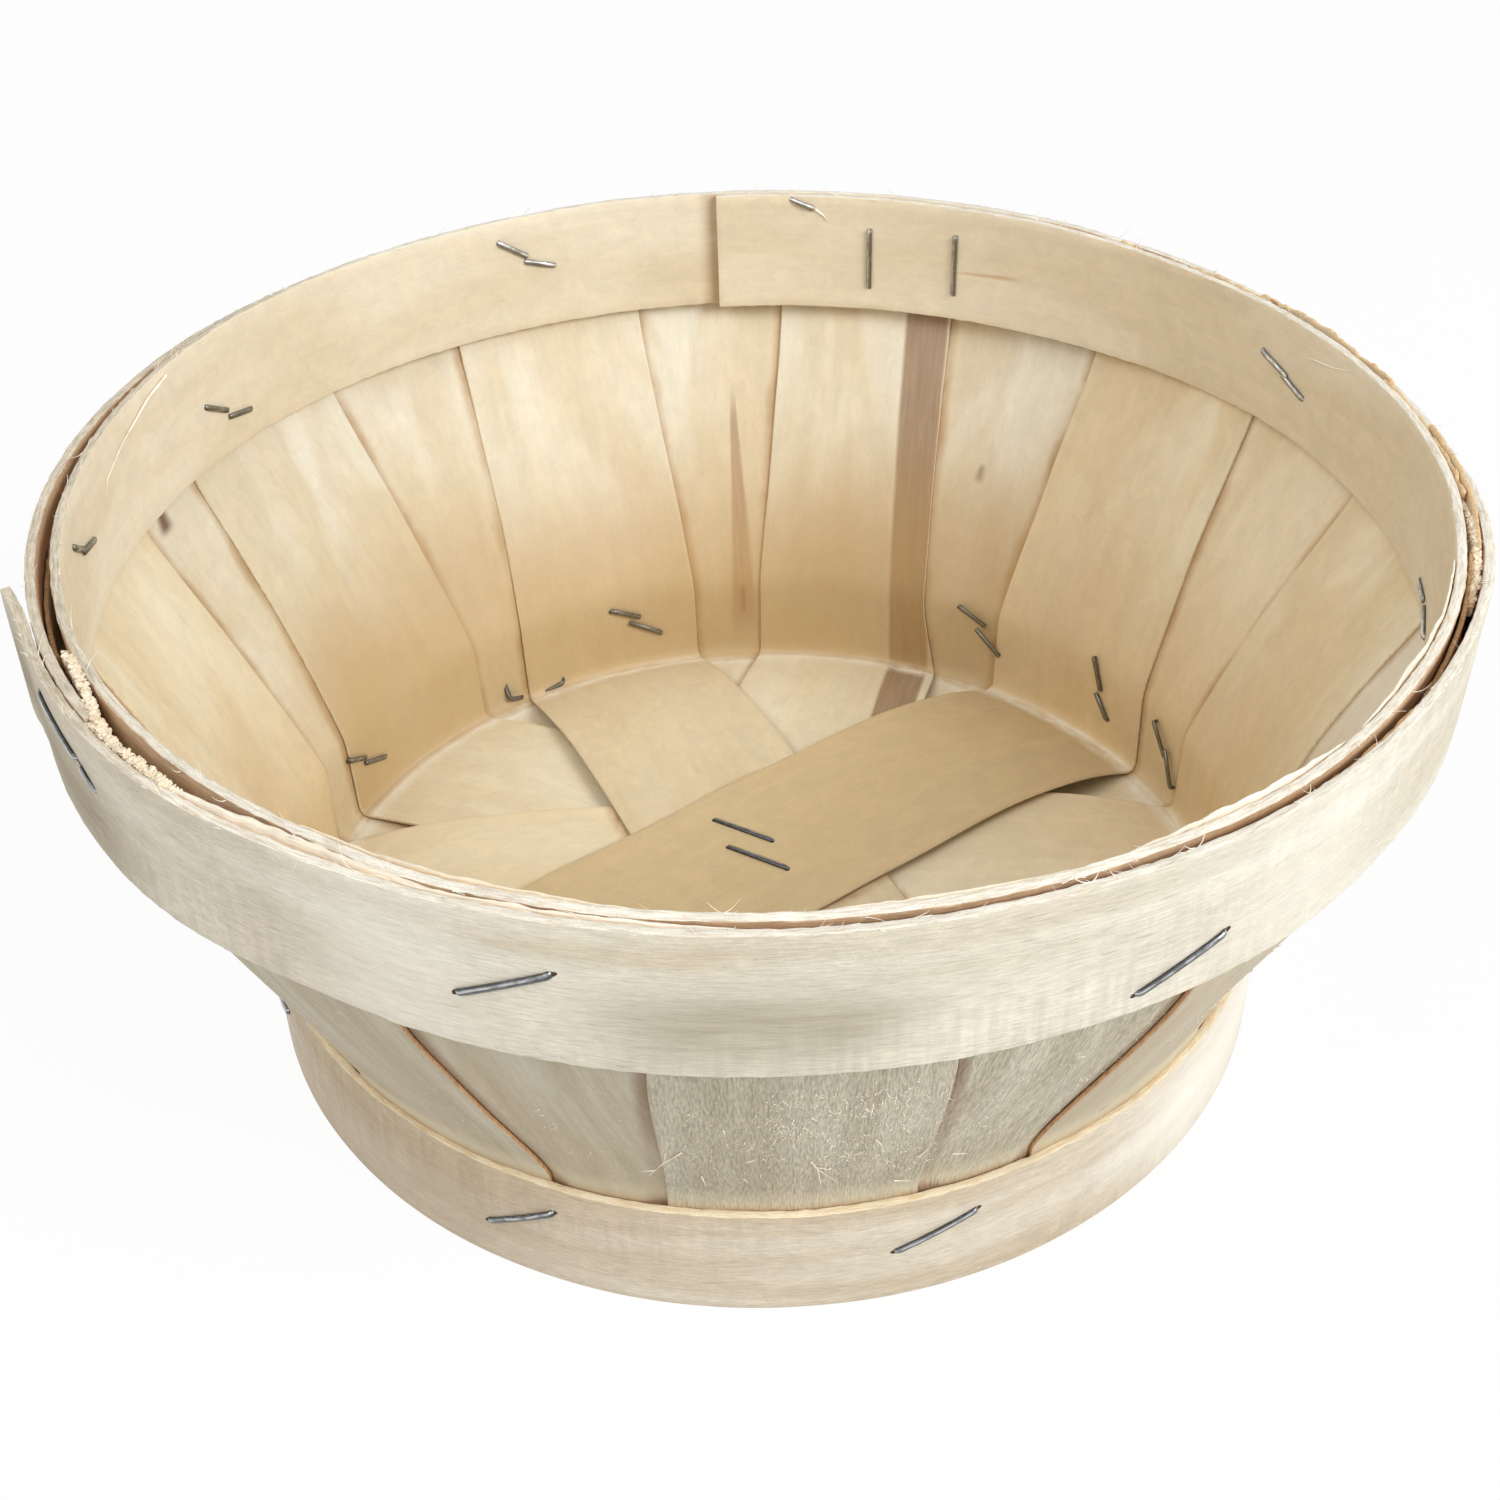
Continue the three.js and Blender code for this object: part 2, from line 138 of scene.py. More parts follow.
def settle(piece):
    rimDepth = rimHigh.z - rimLow.z
    for vertex in piece.data.vertices:
        angle = math.atan2(vertex.co.y, vertex.co.x)
        radius = math.hypot(vertex.co.x, vertex.co.y)
        height = vertex.co.z
        if radius > settling["beyond"]:
            shift = aroundTable(rimSwell, angle) * smoothStep(height, settling["swellFrom"], rimLow.z)
            shift -= aroundTable(rimLean, angle) * max(0, (height - rimLow.z) / rimDepth)
            share = (height - settling["sagFrom"]) / (settling["sagTo"] - settling["sagFrom"])
            if 0 < share < 1:
                shift -= aroundTable(wallSag, angle) * math.sin(math.pi * share ** settling["sagPower"])
            shift -= aroundTable(rimTaper, angle) * max(0, min(share, (rimHigh.z - height) / rimDepth))
            factor = 1 + shift * mm / radius
            vertex.co.x *= factor
            vertex.co.y *= factor


# Side view of the wall: bend, upright, flare, upright at the rim and on past it
pastRim = 4 * mm


def wallLine(bendSteps=8, flareSteps=32):
    line = []
    for i in range(bendSteps + 1):
        turn = math.pi / 2 * i / bendSteps
        line.append((foldStart + basket["foldRadius"] * math.sin(turn),
                     foldTop - basket["foldRadius"] * math.cos(turn)))
    line.append((staveBase, (foldTop + flareBottom) / 2))
    handles = [
        (staveBase, flareBottom),
        (staveBase, flareBottom + basket["flareEaseLow"]),
        (staveRim, flareTop - basket["flareEaseHigh"]),
        (staveRim, flareTop),
    ]
    for i in range(flareSteps + 1):
        t = i / flareSteps
        weights = ((1 - t) ** 3, 3 * (1 - t) ** 2 * t, 3 * (1 - t) * t * t, t ** 3)
        line.append(tuple(sum(w * h[k] for w, h in zip(weights, handles)) for k in (0, 1)))
    line.append((staveRim, basket["height"] + pastRim))
    return [Vector(point) for point in line]


wallPoints = wallLine()
wallLengths = [0.0]
for a, b in zip(wallPoints, wallPoints[1:]):
    wallLengths.append(wallLengths[-1] + (b - a).length)
wallTop = wallLengths[-1] - pastRim


# Point and inward direction at a distance up the wall from the start of the bend
def wallAt(distance):
    last = len(wallPoints) - 1
    i = min(last - 1, max(0, bisect.bisect_right(wallLengths, distance) - 1))
    share = (distance - wallLengths[i]) / (wallLengths[i + 1] - wallLengths[i])
    point = wallPoints[i].lerp(wallPoints[i + 1], share)
    here = wallPoints[i + 1] - wallPoints[i]
    before = wallPoints[i] - wallPoints[i - 1] if i > 0 else Vector((1, 0))
    after = wallPoints[i + 2] - wallPoints[i + 1] if i + 1 < last else here
    start = (before.normalized() + here.normalized()).normalized()
    end = (here.normalized() + after.normalized()).normalized()
    along = start.lerp(end, share).normalized()
    return point, Vector((-along.y, along.x))


# How much of the stack of strips is left at a point of the floor
def stackShare(x, y):
    offset = Vector((x, y)) - basket["crossing"]
    squared = offset.length_squared
    if offset.length < 0.01 * mm:
        return 1
    across = basket["crossing"].dot(offset)
    reach = squared * (foldStart ** 2 - basket["crossing"].length_squared)
    share = squared / (math.sqrt(across ** 2 + reach) - across)
    flat = basket["stackFlat"]
    return 1 - max(0, (share - flat) / (1 - flat)) ** basket["stackPower"]


# Small tools for pieces
def activate(piece):
    bpy.ops.object.select_all(action="DESELECT")
    piece.select_set(True)
    bpy.context.view_layer.objects.active = piece


def applyModifier(piece, kind, **settings):
    activate(piece)
    modifier = piece.modifiers.new(kind.title(), kind)
    for key, value in settings.items():
        setattr(modifier, key, value)
    bpy.ops.object.modifier_apply(modifier=modifier.name)


def finishPiece(piece, nodes, smoothAngle=40):
    settle(piece)
    activate(piece)
    bpy.ops.object.shade_smooth_by_angle(angle=math.radians(smoothAngle))
    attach(piece, "root")
    if nodes:
        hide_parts(*nodes)


# A grid laid out by a function of two shares from 0 to 1, thickened inward.
# Its map named grain runs along the wood and across it, in metres.
def bentSheet(name, columns, rows, place, grainAt, thickness, materials, edges=None, rounding=0.18 * mm):
    bpy.ops.mesh.primitive_grid_add(x_subdivisions=columns, y_subdivisions=rows, size=2)
    sheet = bpy.context.object
    sheet.name = name
    sheet.data.name = name
    shares = [((v.co.x + 1) / 2, (v.co.y + 1) / 2) for v in sheet.data.vertices]
    grain = sheet.data.uv_layers[0]
    grain.name = "grain"
    for loop, spot in zip(sheet.data.loops, grain.uv):
        spot.vector = grainAt(*shares[loop.vertex_index])
    for vertex, share in zip(sheet.data.vertices, shares):
        vertex.co = place(*share)
    for attribute, tree in (edges or {}).items():
        nearby = sheet.data.attributes.new(attribute, "FLOAT", "POINT")
        for vertex in sheet.data.vertices:
            nearby.data[vertex.index].value = tree.find(vertex.co)[2] / mm
    for material in materials:
        sheet.data.materials.append(material)
    applyModifier(sheet, "SOLIDIFY", thickness=thickness, offset=-1, use_even_offset=True,
                  material_offset=1, material_offset_rim=2)
    applyModifier(sheet, "BEVEL", width=rounding, segments=2, limit_method="ANGLE",
                  angle_limit=math.radians(50), use_clamp_overlap=True)
    return sheet


# A colour as written, turned into linear light
def paint(code):
    channels = [int(code[i:i + 2], 16) / 255 for i in (0, 2, 4)]
    return tuple(c / 12.92 if c < 0.04045 else ((c + 0.055) / 1.055) ** 2.4 for c in channels) + (1,)


# The patterns in the wood. Grain says how often one repeats in a metre along the wood and across it, and
# where its noise starts. It begins to show where the noise passes from, and is full at to.
patterns = {
    "blush": {"grain": (9, 30, 11), "from": 0.45, "to": 0.75},
    "mottle": {"grain": (170, 230, 31), "detail": 4, "roughness": 0.6, "distortion": 0.8,
               "from": 0.35, "to": 0.65},
    "speckle": {"grain": (1300, 2100, 33), "detail": 1, "from": 0.3, "to": 0.7},
    "ripple": {"grain": (700, 60, 13), "detail": 3, "from": 0.35, "to": 0.65},
    "ripplePatch": {"grain": (7, 25, 17), "from": 0.48, "to": 0.62, "smooth": True},
    "curl": {"grain": (1100, 2300, 19), "detail": 3, "roughness": 0.6, "distortion": 1.5,
             "from": 0.57, "to": 0.64},
    "curlCluster": {"grain": (90, 130, 21), "detail": 3, "from": 0.42, "to": 0.6, "smooth": True},
    "fray": {"grain": (260, 160, 27), "detail": 4, "roughness": 0.7, "from": 0.38, "to": 0.58},
    "seamDrift": {"grain": (60, 60, 23), "detail": 3, "from": 0.3, "to": 0.7},
    "footLightingPatch": {"grain": (22, 22, 25), "detail": 3, "from": 0.3, "to": 0.7},
    "markPatch": {"grain": (70, 900, 3), "detail": 4, "from": 0.3, "to": 0.7},
}
# How light spreads under the surface of wood
woodDepth = {"Subsurface Radius": (1.0, 0.45, 0.2), "Subsurface Scale": 1.6 * mm}


# Shader building blocks
class Nodes:
    def __init__(self, tree):
        self.tree = tree

    def node(self, kind, inputs, **settings):
        made = self.tree.nodes.new(kind)
        for key, value in settings.items():
            setattr(made, key, value)
        for key, value in inputs.items():
            self.feed(made.inputs[key], value)
        return made

    def feed(self, socket, value):
        if isinstance(value, bpy.types.NodeSocket):
            self.tree.links.new(value, socket)
        else:
            socket.default_value = value

    def math(self, operation, a, b=0.0):
        return self.node("ShaderNodeMath", {0: a, 1: b}, operation=operation).outputs[0]

    def plus(self, a, b):
        return self.math("ADD", a, b)

    def times(self, a, b):
        return self.math("MULTIPLY", a, b)

    # How far a value is from a middle, either way
    def awayFrom(self, value, middle):
        return self.math("ABSOLUTE", self.math("SUBTRACT", value, middle))

    # 1 for what the camera sees, also in reflections and through glass
    def onView(self):
        rays = self.node("ShaderNodeLightPath", {}).outputs
        seen = rays["Is Camera Ray"]
        for kind in ("Is Glossy Ray", "Is Transmission Ray"):
            seen = self.math("MAXIMUM", seen, rays[kind])
        return seen


class Finish(Nodes):
    def __init__(self, name):
        self.material = bpy.data.materials.new(name)
        self.material.use_nodes = True
        super().__init__(self.material.node_tree)
        self.shader = next(n for n in self.tree.nodes if n.type == "BSDF_PRINCIPLED")

    def surface(self, settings):
        for key, value in settings.items():
            self.feed(self.shader.inputs[key], value)

    def split(self, vector):
        return self.node("ShaderNodeSeparateXYZ", {0: vector}).outputs

    def map(self, name):
        return self.node("ShaderNodeUVMap", {}, uv_map=name).outputs[0]

    def attribute(self, name):
        return self.node("ShaderNodeAttribute", {}, attribute_name=name).outputs["Fac"]

    def grain(self, along, across, shift):
        scaled = self.node("ShaderNodeVectorMath", {0: self.map("grain"), 1: (along, across, 1)},
                           operation="MULTIPLY")
        return self.node("ShaderNodeVectorMath", {0: scaled.outputs[0], 1: (shift, shift * 1.7, shift * 0.6)},
                         operation="ADD").outputs[0]

    def place(self):
        return self.node("ShaderNodeTexCoord", {}).outputs["Object"]

    # Distance round the basket, distance from its axis, and height
    def roundAxis(self, around, outward, up):
        x, y, z = self.split(self.place())
        angle = self.math("ARCTAN2", y, x)
        radius = self.math("SQRT", self.plus(self.times(x, x), self.times(y, y)))
        return self.node("ShaderNodeCombineXYZ", {
            0: self.times(angle, around * basket["rimRadius"]),
            1: self.times(radius, outward),
            2: self.times(z, up)}).outputs[0]

    def noise(self, vector, scale=1.0, detail=2.0, roughness=0.5, distortion=0.0):
        return self.node("ShaderNodeTexNoise", {
            "Vector": vector, "Scale": scale, "Detail": detail,
            "Roughness": roughness, "Distortion": distortion}).outputs["Fac"]

    def range(self, value, low, high, start=0.0, end=1.0, smooth=False):
        kind = "SMOOTHSTEP" if smooth else "LINEAR"
        return self.node("ShaderNodeMapRange", {
            "Value": value, "From Min": low, "From Max": high, "To Min": start, "To Max": end},
            interpolation_type=kind).outputs[0]

    def pattern(self, name, seed, start=0.0, end=1.0):
        look = patterns[name]
        along, across, shift = look["grain"]
        value = self.noise(self.grain(along, across, seed + shift), 1, look.get("detail", 2),
                           look.get("roughness", 0.5), look.get("distortion", 0))
        return self.range(value, look["from"], look["to"], start, end, look.get("smooth", False))

    def mix(self, a, b, share, blend="MIX"):
        made = self.node("ShaderNodeMix", {}, data_type="RGBA", blend_type=blend)
        sockets = [s for s in made.inputs if s.type == "RGBA"]
        self.feed(made.inputs["Factor"], share)
        self.feed(sockets[0], a)
        self.feed(sockets[1], b)
        return next(s for s in made.outputs if s.type == "RGBA")

    # A colour multiplied by another, as far as a share says
    def tint(self, colour, other, share):
        return self.mix(colour, self.mix(colour, other, 1.0, "MULTIPLY"), share)

    # A grey value multiplied onto a colour
    def shade(self, colour, factor):
        grey = self.node("ShaderNodeCombineColor", {0: factor, 1: factor, 2: factor}).outputs[0]
        return self.mix(colour, grey, 1.0, "MULTIPLY")

    def bump(self, height, strength, distance):
        return self.node("ShaderNodeBump", {
            "Height": height, "Strength": strength, "Distance": distance}).outputs[0]


# A mark that follows the wood, as a darkness from 0 to 1. All its measures are millimetres: its span along
# the wood, and its middle and half width at the two ends of the span. Shift is where the wood's map starts.
def markOn(finish, mark, shift):
    along, across, _ = finish.split(finish.map("grain"))
    span = [value * mm + shift[0] for value in mark["span"]]
    edge = finish.noise(finish.grain(*mark.get("edge", (40, 300)), mark["seed"]), 1, 3)
    drift = finish.times(finish.math("SUBTRACT", edge, 0.5), mark["ragged"] * mm)
    centre = finish.range(along, *span, *(value * mm + shift[1] for value in mark["across"]))
    width = finish.range(along, *span, *(value * mm for value in mark["width"]))
    off = finish.math("ABSOLUTE", finish.plus(finish.math("SUBTRACT", across, centre), drift))
    side = finish.range(finish.math("DIVIDE", off, width), 1.0, 1 - mark["soft"], smooth=True)
    low, high = sorted(span)
    fade = mark["fade"] * mm
    inside = finish.times(finish.range(along, low, low + fade, smooth=True),
                          finish.range(along, high, high - fade, smooth=True))
    patchy = finish.pattern("markPatch", mark["seed"], mark["thin"], 1)
    return finish.times(finish.times(side, inside), patchy)


# Where the floor ends and the wall starts, as distances from the basket's axis
foldZone = {"paleFrom": foldStart - 5.4 * mm, "floorEnd": foldStart - 1.4 * mm,
            "wallStart": foldStart + 0.3 * mm, "paleTo": foldStart + 1.6 * mm}


def woodFinish(name, look, marks=(), shift=(0, 0)):
    finish = Finish(name)
    seed = look["seed"]
    _, radius, height = finish.split(finish.roundAxis(1, 1, 1))
    onWall = finish.range(radius, foldZone["floorEnd"], foldZone["wallStart"])

    # Pale and honey wood in clouds, its own figure; paler higher up and on the floor is painted light
    cloud = finish.noise(finish.grain(*look["cloudGrain"], seed), 1, 3, 0.55, 0.6)
    cloud = finish.range(cloud, 0.5 - look["cloudSoft"], 0.5 + look["cloudSoft"], smooth=True)
    upper = finish.range(height, look["honeyBelow"], look["paleAbove"], smooth=True)
    upper = finish.math("MAXIMUM", upper, finish.range(onWall, 1, 0, 0, look["floorPale"]))
    paleness = finish.times(upper, finish.range(cloud, 0, 1, 1 - look["cloudAmount"], 1))
    colour = finish.mix(paint(look["honey"]), paint(look["pale"]), paleness)
    colour = finish.mix(colour, paint(look["blush"]), finish.pattern("blush", seed, 0, look["blushAmount"]))
    if "floorTint" in look:
        colour = finish.mix(colour, paint(look["floorTint"]), finish.range(onWall, 1, 0, 0, 0.45))

    # Streaks, fibres, mottle and speckle make it lighter and darker
    streak = finish.noise(finish.grain(*look["streakGrain"], seed + 5), 1, 3, 0.6)
    fibre = finish.noise(finish.grain(*look["fibreGrain"], seed + 7), 1,
                         look["fibreDetail"], 0.6, look["wave"])
    light = finish.range(streak, 0.35, 0.65, 1 - look["streak"], 1 + look["streak"])
    light = finish.times(light, finish.range(fibre, 0.35, 0.65, 1 - look["fibre"], 1 + look["fibre"]))
    for part, share in (("mottle", look["mottle"]), ("speckle", look["mottle"] / 2)):
        light = finish.times(light, finish.pattern(part, seed, 1 - share, 1 + share))
    colour = finish.shade(colour, light)
    fleck = finish.noise(finish.grain(*look["fleckGrain"], seed + 9))
    fleck = finish.range(fleck, look["fleckFrom"], look["fleckFrom"] + 0.08, 0, look["fleck"])
    colour = finish.mix(colour, paint(look["fleckColour"]), fleck)
    if look["ripple"]:
        patch = finish.pattern("ripplePatch", seed, 0, look["ripple"])
        swing = finish.times(finish.pattern("ripple", seed, -1, 1), patch)
        colour = finish.shade(colour, finish.plus(swing, 1))
    if look["curls"]:
        curls = finish.times(finish.pattern("curl", seed), finish.pattern("curlCluster", seed, 0.15, 1))
        colour = finish.mix(colour, paint(look["curlColour"]), finish.times(curls, look["curls"]))
    for mark in marks:
        colour = finish.mix(colour, paint(mark["colour"]),
                            finish.times(markOn(finish, mark, shift), mark["strength"]))
    if look["foldHighlight"]:
        # Painted highlight along the fold, broken up in frayed streaks
        fold = finish.times(
            finish.range(radius, foldZone["paleFrom"], foldZone["floorEnd"], smooth=True),
            finish.range(radius, foldZone["paleTo"], foldZone["wallStart"], smooth=True))
        frayed = finish.pattern("fray", seed, 0.35 * look["foldHighlight"], look["foldHighlight"])
        colour = finish.mix(colour, paint(look["foldHighlightColour"]), finish.times(fold, frayed))
    if look["seamShade"]:
        # Painted shade along the edge of a strip that lies on this one
        distance = finish.plus(finish.attribute("edgeInside"), finish.pattern("seamDrift", seed, -0.8, 0.8))
        seamShade = finish.range(distance, *look["seamReach"], 0, look["seamShade"], smooth=True)
        colour = finish.tint(colour, paint(look["seamShadeTint"]), seamShade)
    if look["shadow"]:
        # Brown beside the edge of a stave that stands in front
        distance = finish.attribute("edgeOutside")
        shadow = finish.range(distance, *look["shadowReach"], 0, look["shadow"], smooth=True)
        shadow = finish.times(shadow, finish.range(height, 40 * mm, 75 * mm, 0.25, 1))
        colour = finish.tint(colour, paint(look["shadowTint"]), shadow)
    # Painted light low on the wall: darker inside, painted shade where less light reaches; paler outside just
    # above the base hoop, painted glow
    if look["foot"]:
        foot = finish.range(height, look["footHigh"], look["footLow"], 0, look["foot"], smooth=True)
        foot = finish.times(finish.times(foot, onWall), finish.pattern("footLightingPatch", seed, 0.55, 1.0))
        colour = finish.mix(colour, paint(look["footLightingColour"]), foot)
    # Painted shade in narrow places, tinted warm like the light that comes back out of them
    openness = finish.node("ShaderNodeAmbientOcclusion", {"Distance": look["creaseReach"]}, samples=6)
    crease = finish.range(openness.outputs["AO"], 0.78, 0.3, 0, look["crease"])
    colour = finish.tint(colour, paint(look["creaseTint"]), crease)

    relief = finish.plus(finish.times(fibre, 0.6), finish.times(streak, 0.4))
    finish.surface({
        "Base Color": colour,
        "Roughness": finish.range(streak, 0.3, 0.7, look["roughness"] + 0.06, look["roughness"] - 0.06),
        "Normal": finish.bump(relief, look["bump"], look["bumpHeight"]),
        "Specular IOR Level": look["gloss"],
        "Subsurface Weight": look["glow"],
        **woodDepth,
    })
    return finish.material


# The wood's looks. Each grain is how often its pattern repeats in a metre, along the wood and across it.
smoothSide = {
    "pale": "e6e0ce", "honey": "d2bf9b", "honeyBelow": 0.0, "paleAbove": 75 * mm, "floorPale": 0.5,
    "blush": "dac8a8", "blushAmount": 0.45,
    "cloudGrain": (16, 50), "cloudAmount": 0.62, "cloudSoft": 0.14,
    "streakGrain": (14, 260), "streak": 0.02, "mottle": 0.04,
    "fibreGrain": (70, 2600), "fibre": 0.018, "fibreDetail": 3, "wave": 0,
    "fleckGrain": (260, 2400), "fleckFrom": 0.7, "fleck": 0.25, "fleckColour": "b98f58",
    "roughness": 0.55, "bump": 0.35, "bumpHeight": 0.12 * mm, "gloss": 0.35, "glow": 0.12,
    "ripple": 0, "curls": 0, "curlColour": "efe9db", "foldHighlight": 1.0, "foldHighlightColour": "f6f0e0",
    # Painted shade beside an edge: how strong, how far off in millimetres it begins and is full, and its tint
    "seamShade": 0.75, "seamReach": (2.8, 0.2), "seamShadeTint": "c49a66",
    "shadow": 0, "shadowReach": (3.4, 1.2), "shadowTint": "a9825f",
    "foot": 0.25, "footLightingColour": "bd9c6a", "footHigh": 70 * mm, "footLow": 30 * mm,
    "crease": 0.25, "creaseReach": 2.0 * mm, "creaseTint": "e4c49c",
}
roughSide = dict(
    smoothSide, pale="bbb4a1", honey="ada087", paleAbove=60 * mm, floorPale=0,
    blush="baa68c", blushAmount=0.5,
    cloudGrain=(12, 110), cloudAmount=0.85, streakGrain=(22, 420), streak=0.055, mottle=0.025,
    fibreGrain=(240, 2300), fibre=0.05, wave=0.1, fleckGrain=(300, 2200), fleckColour="8f7a58",
    roughness=0.7, bump=0.5, bumpHeight=0.25 * mm, gloss=0.3, glow=0.06, curls=0.2, foldHighlight=0, seamShade=0,
    shadow=0.65, foot=0.5, footLightingColour="e4d8bb", footHigh=34 * mm, footLow=25.5 * mm,
    crease=0.6, creaseReach=2.5 * mm, creaseTint="f0c098")
# The roughest strips: torn grain with ridges and tiny curls
tornSide = {
    "fibreGrain": (360, 2500), "fibre": 0.19, "fibreDetail": 1.5, "wave": 0.15, "streak": 0.07,
    "bump": 1.0, "bumpHeight": 0.6 * mm, "curls": 0.3, "pale": "bab3a0", "honey": "a89e88", "blush": "b5a58d",
}
hoopSide = dict(
    smoothSide, pale="d8d2c3", honey="c8bfac", honeyBelow=-1.0, paleAbove=-0.5, floorPale=0, blush="d1c5b1",
    cloudGrain=(9, 70), cloudAmount=1.0, cloudSoft=0.16, streakGrain=(16, 500), mottle=0.045,
    fibreGrain=(260, 2600), fibre=0.085, fibreDetail=2, wave=0.1,
    fleckGrain=(160, 2600), fleckFrom=0.66, fleck=0.45, fleckColour="8f8472",
    roughness=0.7, bump=0.85, bumpHeight=0.25 * mm, gloss=0.3, glow=0.05, ripple=0.075, curls=0.3,
    foldHighlight=0, seamShade=0, foot=0, crease=0.3, creaseReach=3 * mm, creaseTint="eccfae")
# Hoop faces that show only in the gaps: the wood made warmer and brighter, painted glow of light in the gaps
hiddenSide = dict(hoopSide, pale="dcc0a2", honey="c2a280", blush="cdaa8a", crease=0.2)


# Cut edges. Crumbs and patches are how many there are in a metre.
cutLook = {"crumbs": 2400, "patches": 90, "bump": 0.7, "bumpHeight": 0.25 * mm, "roughness": 0.8,
           "gloss": 0.2, "glow": 0.1}


# Along the hoops the fibres lie round the basket, across the strips they end in the cut. Stretch is how often
# they repeat in a metre round the basket, outward and up, and deep how dark the crumbs' gaps are. Other is a
# second pair of colours for one side of the basket: along which axis, and from where to where.
def edgeFinish(name, light, dark, stretch, deep, other=None):
    finish = Finish(name)
    light, dark = paint(light), paint(dark)
    if other:
        along = finish.split(finish.place())[other["axis"]]
        share = finish.range(along, other["from"], other["to"])
        light = finish.mix(light, paint(other["light"]), share)
        dark = finish.mix(dark, paint(other["dark"]), share)
    fibre = finish.noise(finish.roundAxis(*stretch), 1, 4, 0.65)
    crumb = finish.noise(finish.place(), cutLook["crumbs"], 2, 0.6)
    patch = finish.noise(finish.place(), cutLook["patches"], 3, 0.6)
    mixed = finish.mix(dark, light, finish.range(fibre, 0.28, 0.58))
    mixed = finish.mix(mixed, dark, finish.range(crumb, 0.58, 0.72, 0, deep))
    relief = finish.plus(finish.times(fibre, 0.7), finish.times(crumb, 0.3 * deep))
    finish.surface({
        "Base Color": finish.shade(mixed, finish.range(patch, 0.3, 0.7, 0.9, 1.05)),
        "Normal": finish.bump(relief, cutLook["bump"], cutLook["bumpHeight"]),
        "Roughness": cutLook["roughness"],
        "Specular IOR Level": cutLook["gloss"],
        "Subsurface Weight": cutLook["glow"],
        **woodDepth,
    })
    return finish.material


stripEnd = {"light": "e6c99c", "dark": "c6965f", "axis": 2, "from": 0.100, "to": 0.106}
# The outer strips' cut edges are the cut wood made orange, painted glow in the seams between the staves
outerEdge = edgeFinish("outer_edge", "d6ac82", "b48256", (1500, 1500, 500), 0.5, stripEnd)
innerEdge = edgeFinish("inner_edge", "ece0c8", "d8c29c", (1500, 1500, 500), 0.4, stripEnd)
leftSide = {"light": "dad0bd", "dark": "a89a82", "axis": 0, "from": -0.08, "to": -0.112}
hoopEdge = edgeFinish("hoop_edge", "f0ebdf", "c9bca5", (230, 2200, 2200), 0.6, leftSide)
baseEdge = edgeFinish("base_edge", "f4ead2", "d9be92", (200, 2600, 2600), 0.4)

# The strips. Edges stand off by lift in the outer and the inner tier. Places on the wall are distances up it
# from the bend: where a waist is, where the edges are free, and where inner strips are pressed outward.
splints = {
    "width": basket["splintWidth"],
    "columns": 40,
    "rowStep": 2.3 * mm,
    "rounding": 0.4 * mm,
    "lift": (-0.15 * mm, -0.42 * mm),
    "floorCurl": 0.2 * mm,      # how far the inner strips' edges curl up on the floor
    "tierGap": 0.04 * mm,
    "endShape": 14 * mm,        # how far below the cut its unevenness reaches
    "waistAt": (-30 * mm, 8 * mm, 25 * mm, 75 * mm),
    "freeAt": (20 * mm, 55 * mm, wallTop - 46 * mm, wallTop - 24 * mm),
    "pressAt": (6 * mm, 16 * mm, 30 * mm, 46 * mm),
    "press": 0.75 * mm,
    "pressBeside": (math.radians(13.2), math.radians(15.5)),    # from the middle of an outer stave
    "grainStep": (0.7, 0.1),    # where the grain's map starts, from strip to strip
}
# Looks inside: in general, of the staves at the back and at the right, and of the two topmost strips.
# The lower strips' floor is paler as painted light, and the back staves are darker low down as painted shade
insideLook = dict(smoothSide, foot=0.2, floorPale=1.0, floorTint="f4e6c8")
backLook = {"foot": 0.7}
rightLook = {"pale": "ebe0c6", "honey": "d8c096"}
secondLook = {"floorPale": 0.5, "floorTint": "e2d0ac"}
topLook = {"floorPale": 0.15, "floorTint": "c8b288"}
# Lowest first. Bend and rim are the angles of the two ends at the floor's edge and at the rim. Drop is how
# far each end stops below the rim's top edge, and slant how much more at one corner, in millimetres. Waist
# is how much narrower one stretch is, as a share. Trims are explained at trimmed.
strips = [
    {"name": "splint_outer_1", "bend": (194.3, 23.7), "rim": (194.3, 21.3), "drop": (5, 0.5)},
    {"name": "splint_outer_2", "bend": (309.7, 126), "rim": (310, 131), "drop": (1.8, 0.4),
     "trims": [(-1, -1, -0.17, 20, 70)]},
    {"name": "splint_outer_3", "bend": (234.4, 57.3), "rim": (234, 57.3), "drop": (7, 0.5)},
    {"name": "splint_outer_4", "bend": (353.3, 162.7), "rim": (353.3, 162.7), "drop": (0.3, 1.2)},
    {"name": "splint_outer_5", "bend": (272, 91), "rim": (272, 93), "drop": (6, 0.3), "waist": 0.04,
     "outside": tornSide},
    {"name": "splint_inner_1", "bend": (333, 145), "rim": (333, 149), "drop": (3.2, 0.6),
     "slant": (2.4, 0), "trims": [(-1, 1, -0.15, 20, 70)]},
    {"name": "splint_inner_2", "bend": (255, 76), "rim": (253, 75.7), "drop": (6, 0.3),
     "trims": [(1, -1, 0.17, -5, 25)]},
    {"name": "splint_inner_3", "bend": (178, 5), "rim": (178, 1.9), "drop": (5, 0.6)},
    {"name": "splint_inner_4", "bend": (294, 111.5), "rim": (292.4, 112.3), "drop": (6, 0.3),
     "outside": tornSide, "inside": secondLook, "trims": [(-1, 1, -0.12, 20, 75)]},
    {"name": "splint_inner_5", "bend": (213.3, 40.7), "rim": (213.3, 39.9), "drop": (6, 0.6),
     "inside": topLook, "trims": [(-1, -1, -0.1, 20, 75)]},
]
outerCount = len(strips) // 2
outerCentres = [math.radians(angle) for entry in strips[:outerCount] for angle in entry["bend"]]


